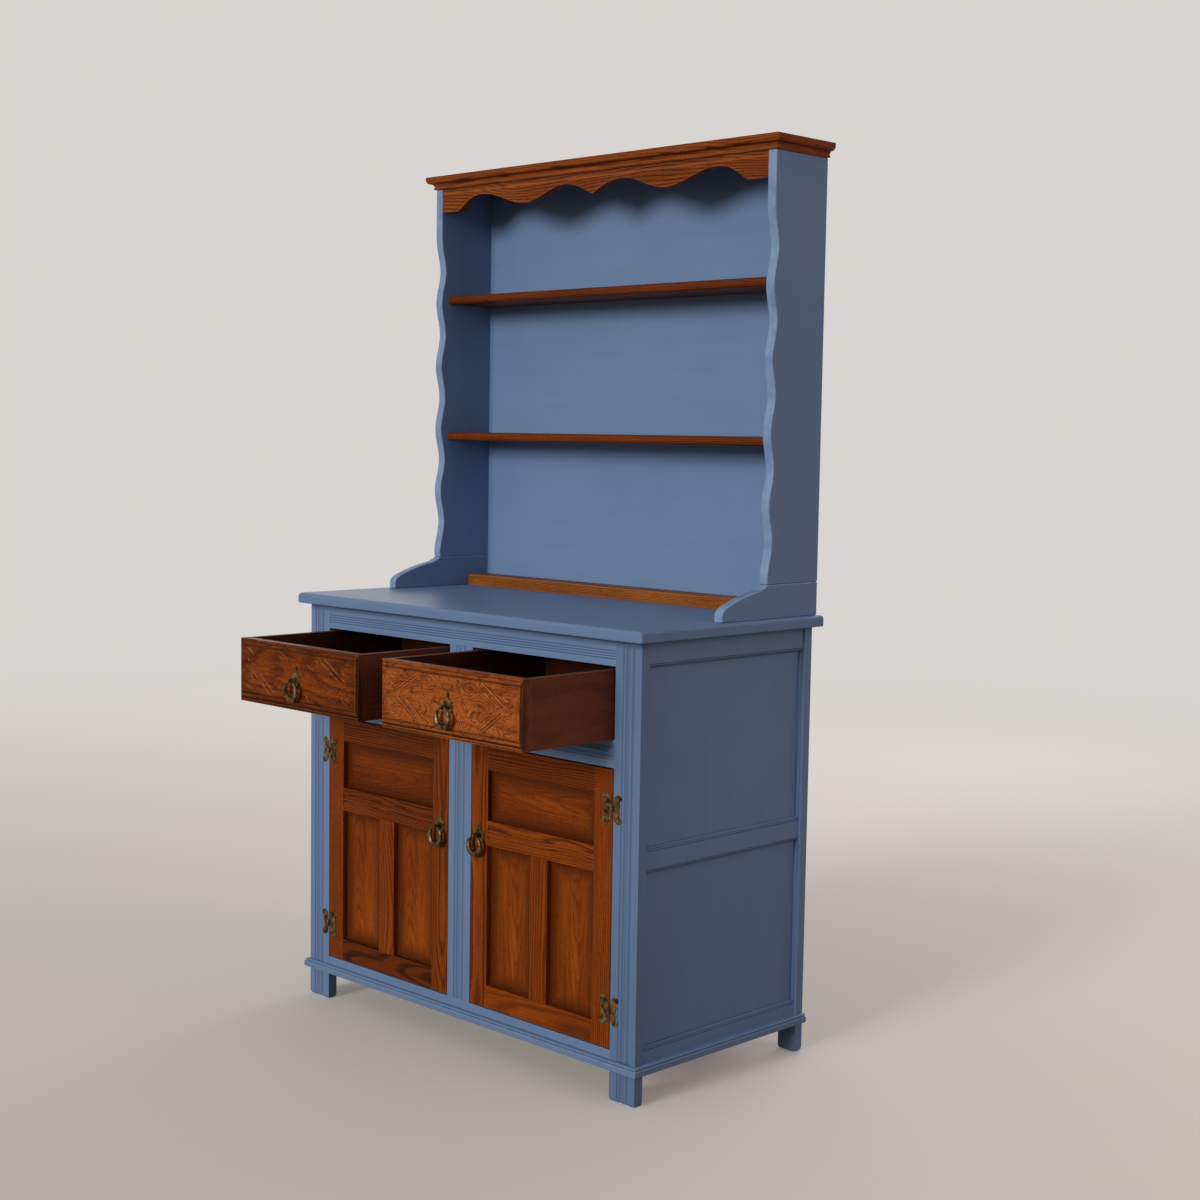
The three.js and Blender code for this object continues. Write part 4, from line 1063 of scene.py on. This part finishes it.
# The cast ring is thicker and rounder than its hanging end
def swellRing(name):
    lo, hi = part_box(name)
    thin, change = brassPieces["ringHanging"]

    def shape(bm):
        bm.normal_update()
        for vert in bm.verts:
            fall = min(max((hi.z - thin - vert.co.z) / change, 0), 1)
            push = vert.normal * brassPieces["ringSwell"] * fall
            vert.co.x += push.x
            vert.co.y += push.y * .25
            vert.co.z = max(vert.co.z + push.z, lo.z)
    return shape


# Lengths are shares of the head's radius, and each head is turned further than the last
screwLook = {
    "segments": 20,
    "top": .8,
    "height": .5,
    "slit": .14,
    "slitDepth": .3,
    "out": .2,
    "turn": (37, 53),
}


def slottedHead(radius):
    head = bmesh.new()
    bmesh.ops.create_cone(head, cap_ends=True, segments=screwLook["segments"], radius1=radius,
                          radius2=radius * screwLook["top"], depth=radius * screwLook["height"])
    for way in (-1, 1):
        cutThrough(head, (way * screwLook["slit"] * radius, 0, 0), (1, 0, 0), 1e-7)
    slit = [f for f in head.faces if f.normal.z > .9 and abs(f.calc_center_median().x) < radius * .1]
    made = bmesh.ops.extrude_face_region(head, geom=slit)["geom"]
    bmesh.ops.delete(head, geom=slit, context="FACES")
    sunk = [v for v in made if isinstance(v, bmesh.types.BMVert)]
    bmesh.ops.translate(head, verts=sunk, vec=(0, 0, -radius * screwLook["slitDepth"]))
    return head


# Screw heads of one body, as one piece: places, radius and the side they are seen from
def screwHeads(owner, spots, radius, facing=-1):
    bm = bmesh.new()
    stand = Matrix.Rotation(-facing * pi / 2, 4, "X")
    firstTurn, nextTurn = screwLook["turn"]
    for k, spot in enumerate(spots):
        head = slottedHead(radius)
        turn = Matrix.Rotation(radians(firstTurn + k * nextTurn), 4, "Z")
        move = Matrix.Translation(Vector(spot) + Vector((0, facing * radius * screwLook["out"], 0)))
        bmesh.ops.transform(head, matrix=move @ stand @ turn, verts=head.verts)
        held = bpy.data.meshes.new("head")
        head.to_mesh(held)
        head.free()
        bm.from_mesh(held)
        bpy.data.meshes.remove(held)
    linked(owner + "_screws", bm, bodyOf[owner], [brass])


for name in sorted(nodes):
    if slotOf[name] != "antique_brass":
        continue
    lo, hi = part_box(name)
    middle, half = (lo + hi) / 2, (hi - lo) / 2
    if name.endswith("ring"):
        softened(name, [brass], 0, smooth=180, finer=2, shape=swellRing(name))
        continue
    softened(name, [brass], brassPieces["softEdge"])
    if "leaf" in name:
        pin = brassPieces["hingePin"] * (1 if "right" in name else -1)
        outer = hi.x if abs(hi.x - pin) > abs(lo.x - pin) else lo.x
        face = hi.y - brassPieces["leafFace"]
        screwHeads(name, [(pin + (outer - pin) * across, face, middle.z + half.z * up)
                          for across, up in brassPieces["leafScrews"]], brassPieces["leafScrewSize"])
    else:
        face = hi.y - brassPieces["plateFace"]
        upper, lower = brassPieces["plateScrews"]
        screwHeads(name, [(middle.x, face, hi.z - upper), (middle.x, face, lo.z + lower)],
                   brassPieces["plateScrewSize"])

# Screws that hold the two back panels: how many across and up
backScrews = {
    "counts": {"rack_back_panel": (7, 6), "base_back_panel": (7, 5)},
    "inset": .009,
    "size": .0019,
}
for name, (acrossCount, upCount) in backScrews["counts"].items():
    lo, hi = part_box(name)
    inset = backScrews["inset"]
    left, right, low, high = lo.x + inset, hi.x - inset, lo.z + inset, hi.z - inset
    spots = []
    for k in range(acrossCount):
        x = left + (right - left) * k / (acrossCount - 1)
        spots += [(x, hi.y, low), (x, hi.y, high)]
    for k in range(1, upCount - 1):
        z = low + (high - low) * k / (upCount - 1)
        spots += [(left, hi.y, z), (right, hi.y, z)]
    screwHeads(name, spots, backScrews["size"], facing=1)
print("brass finished")
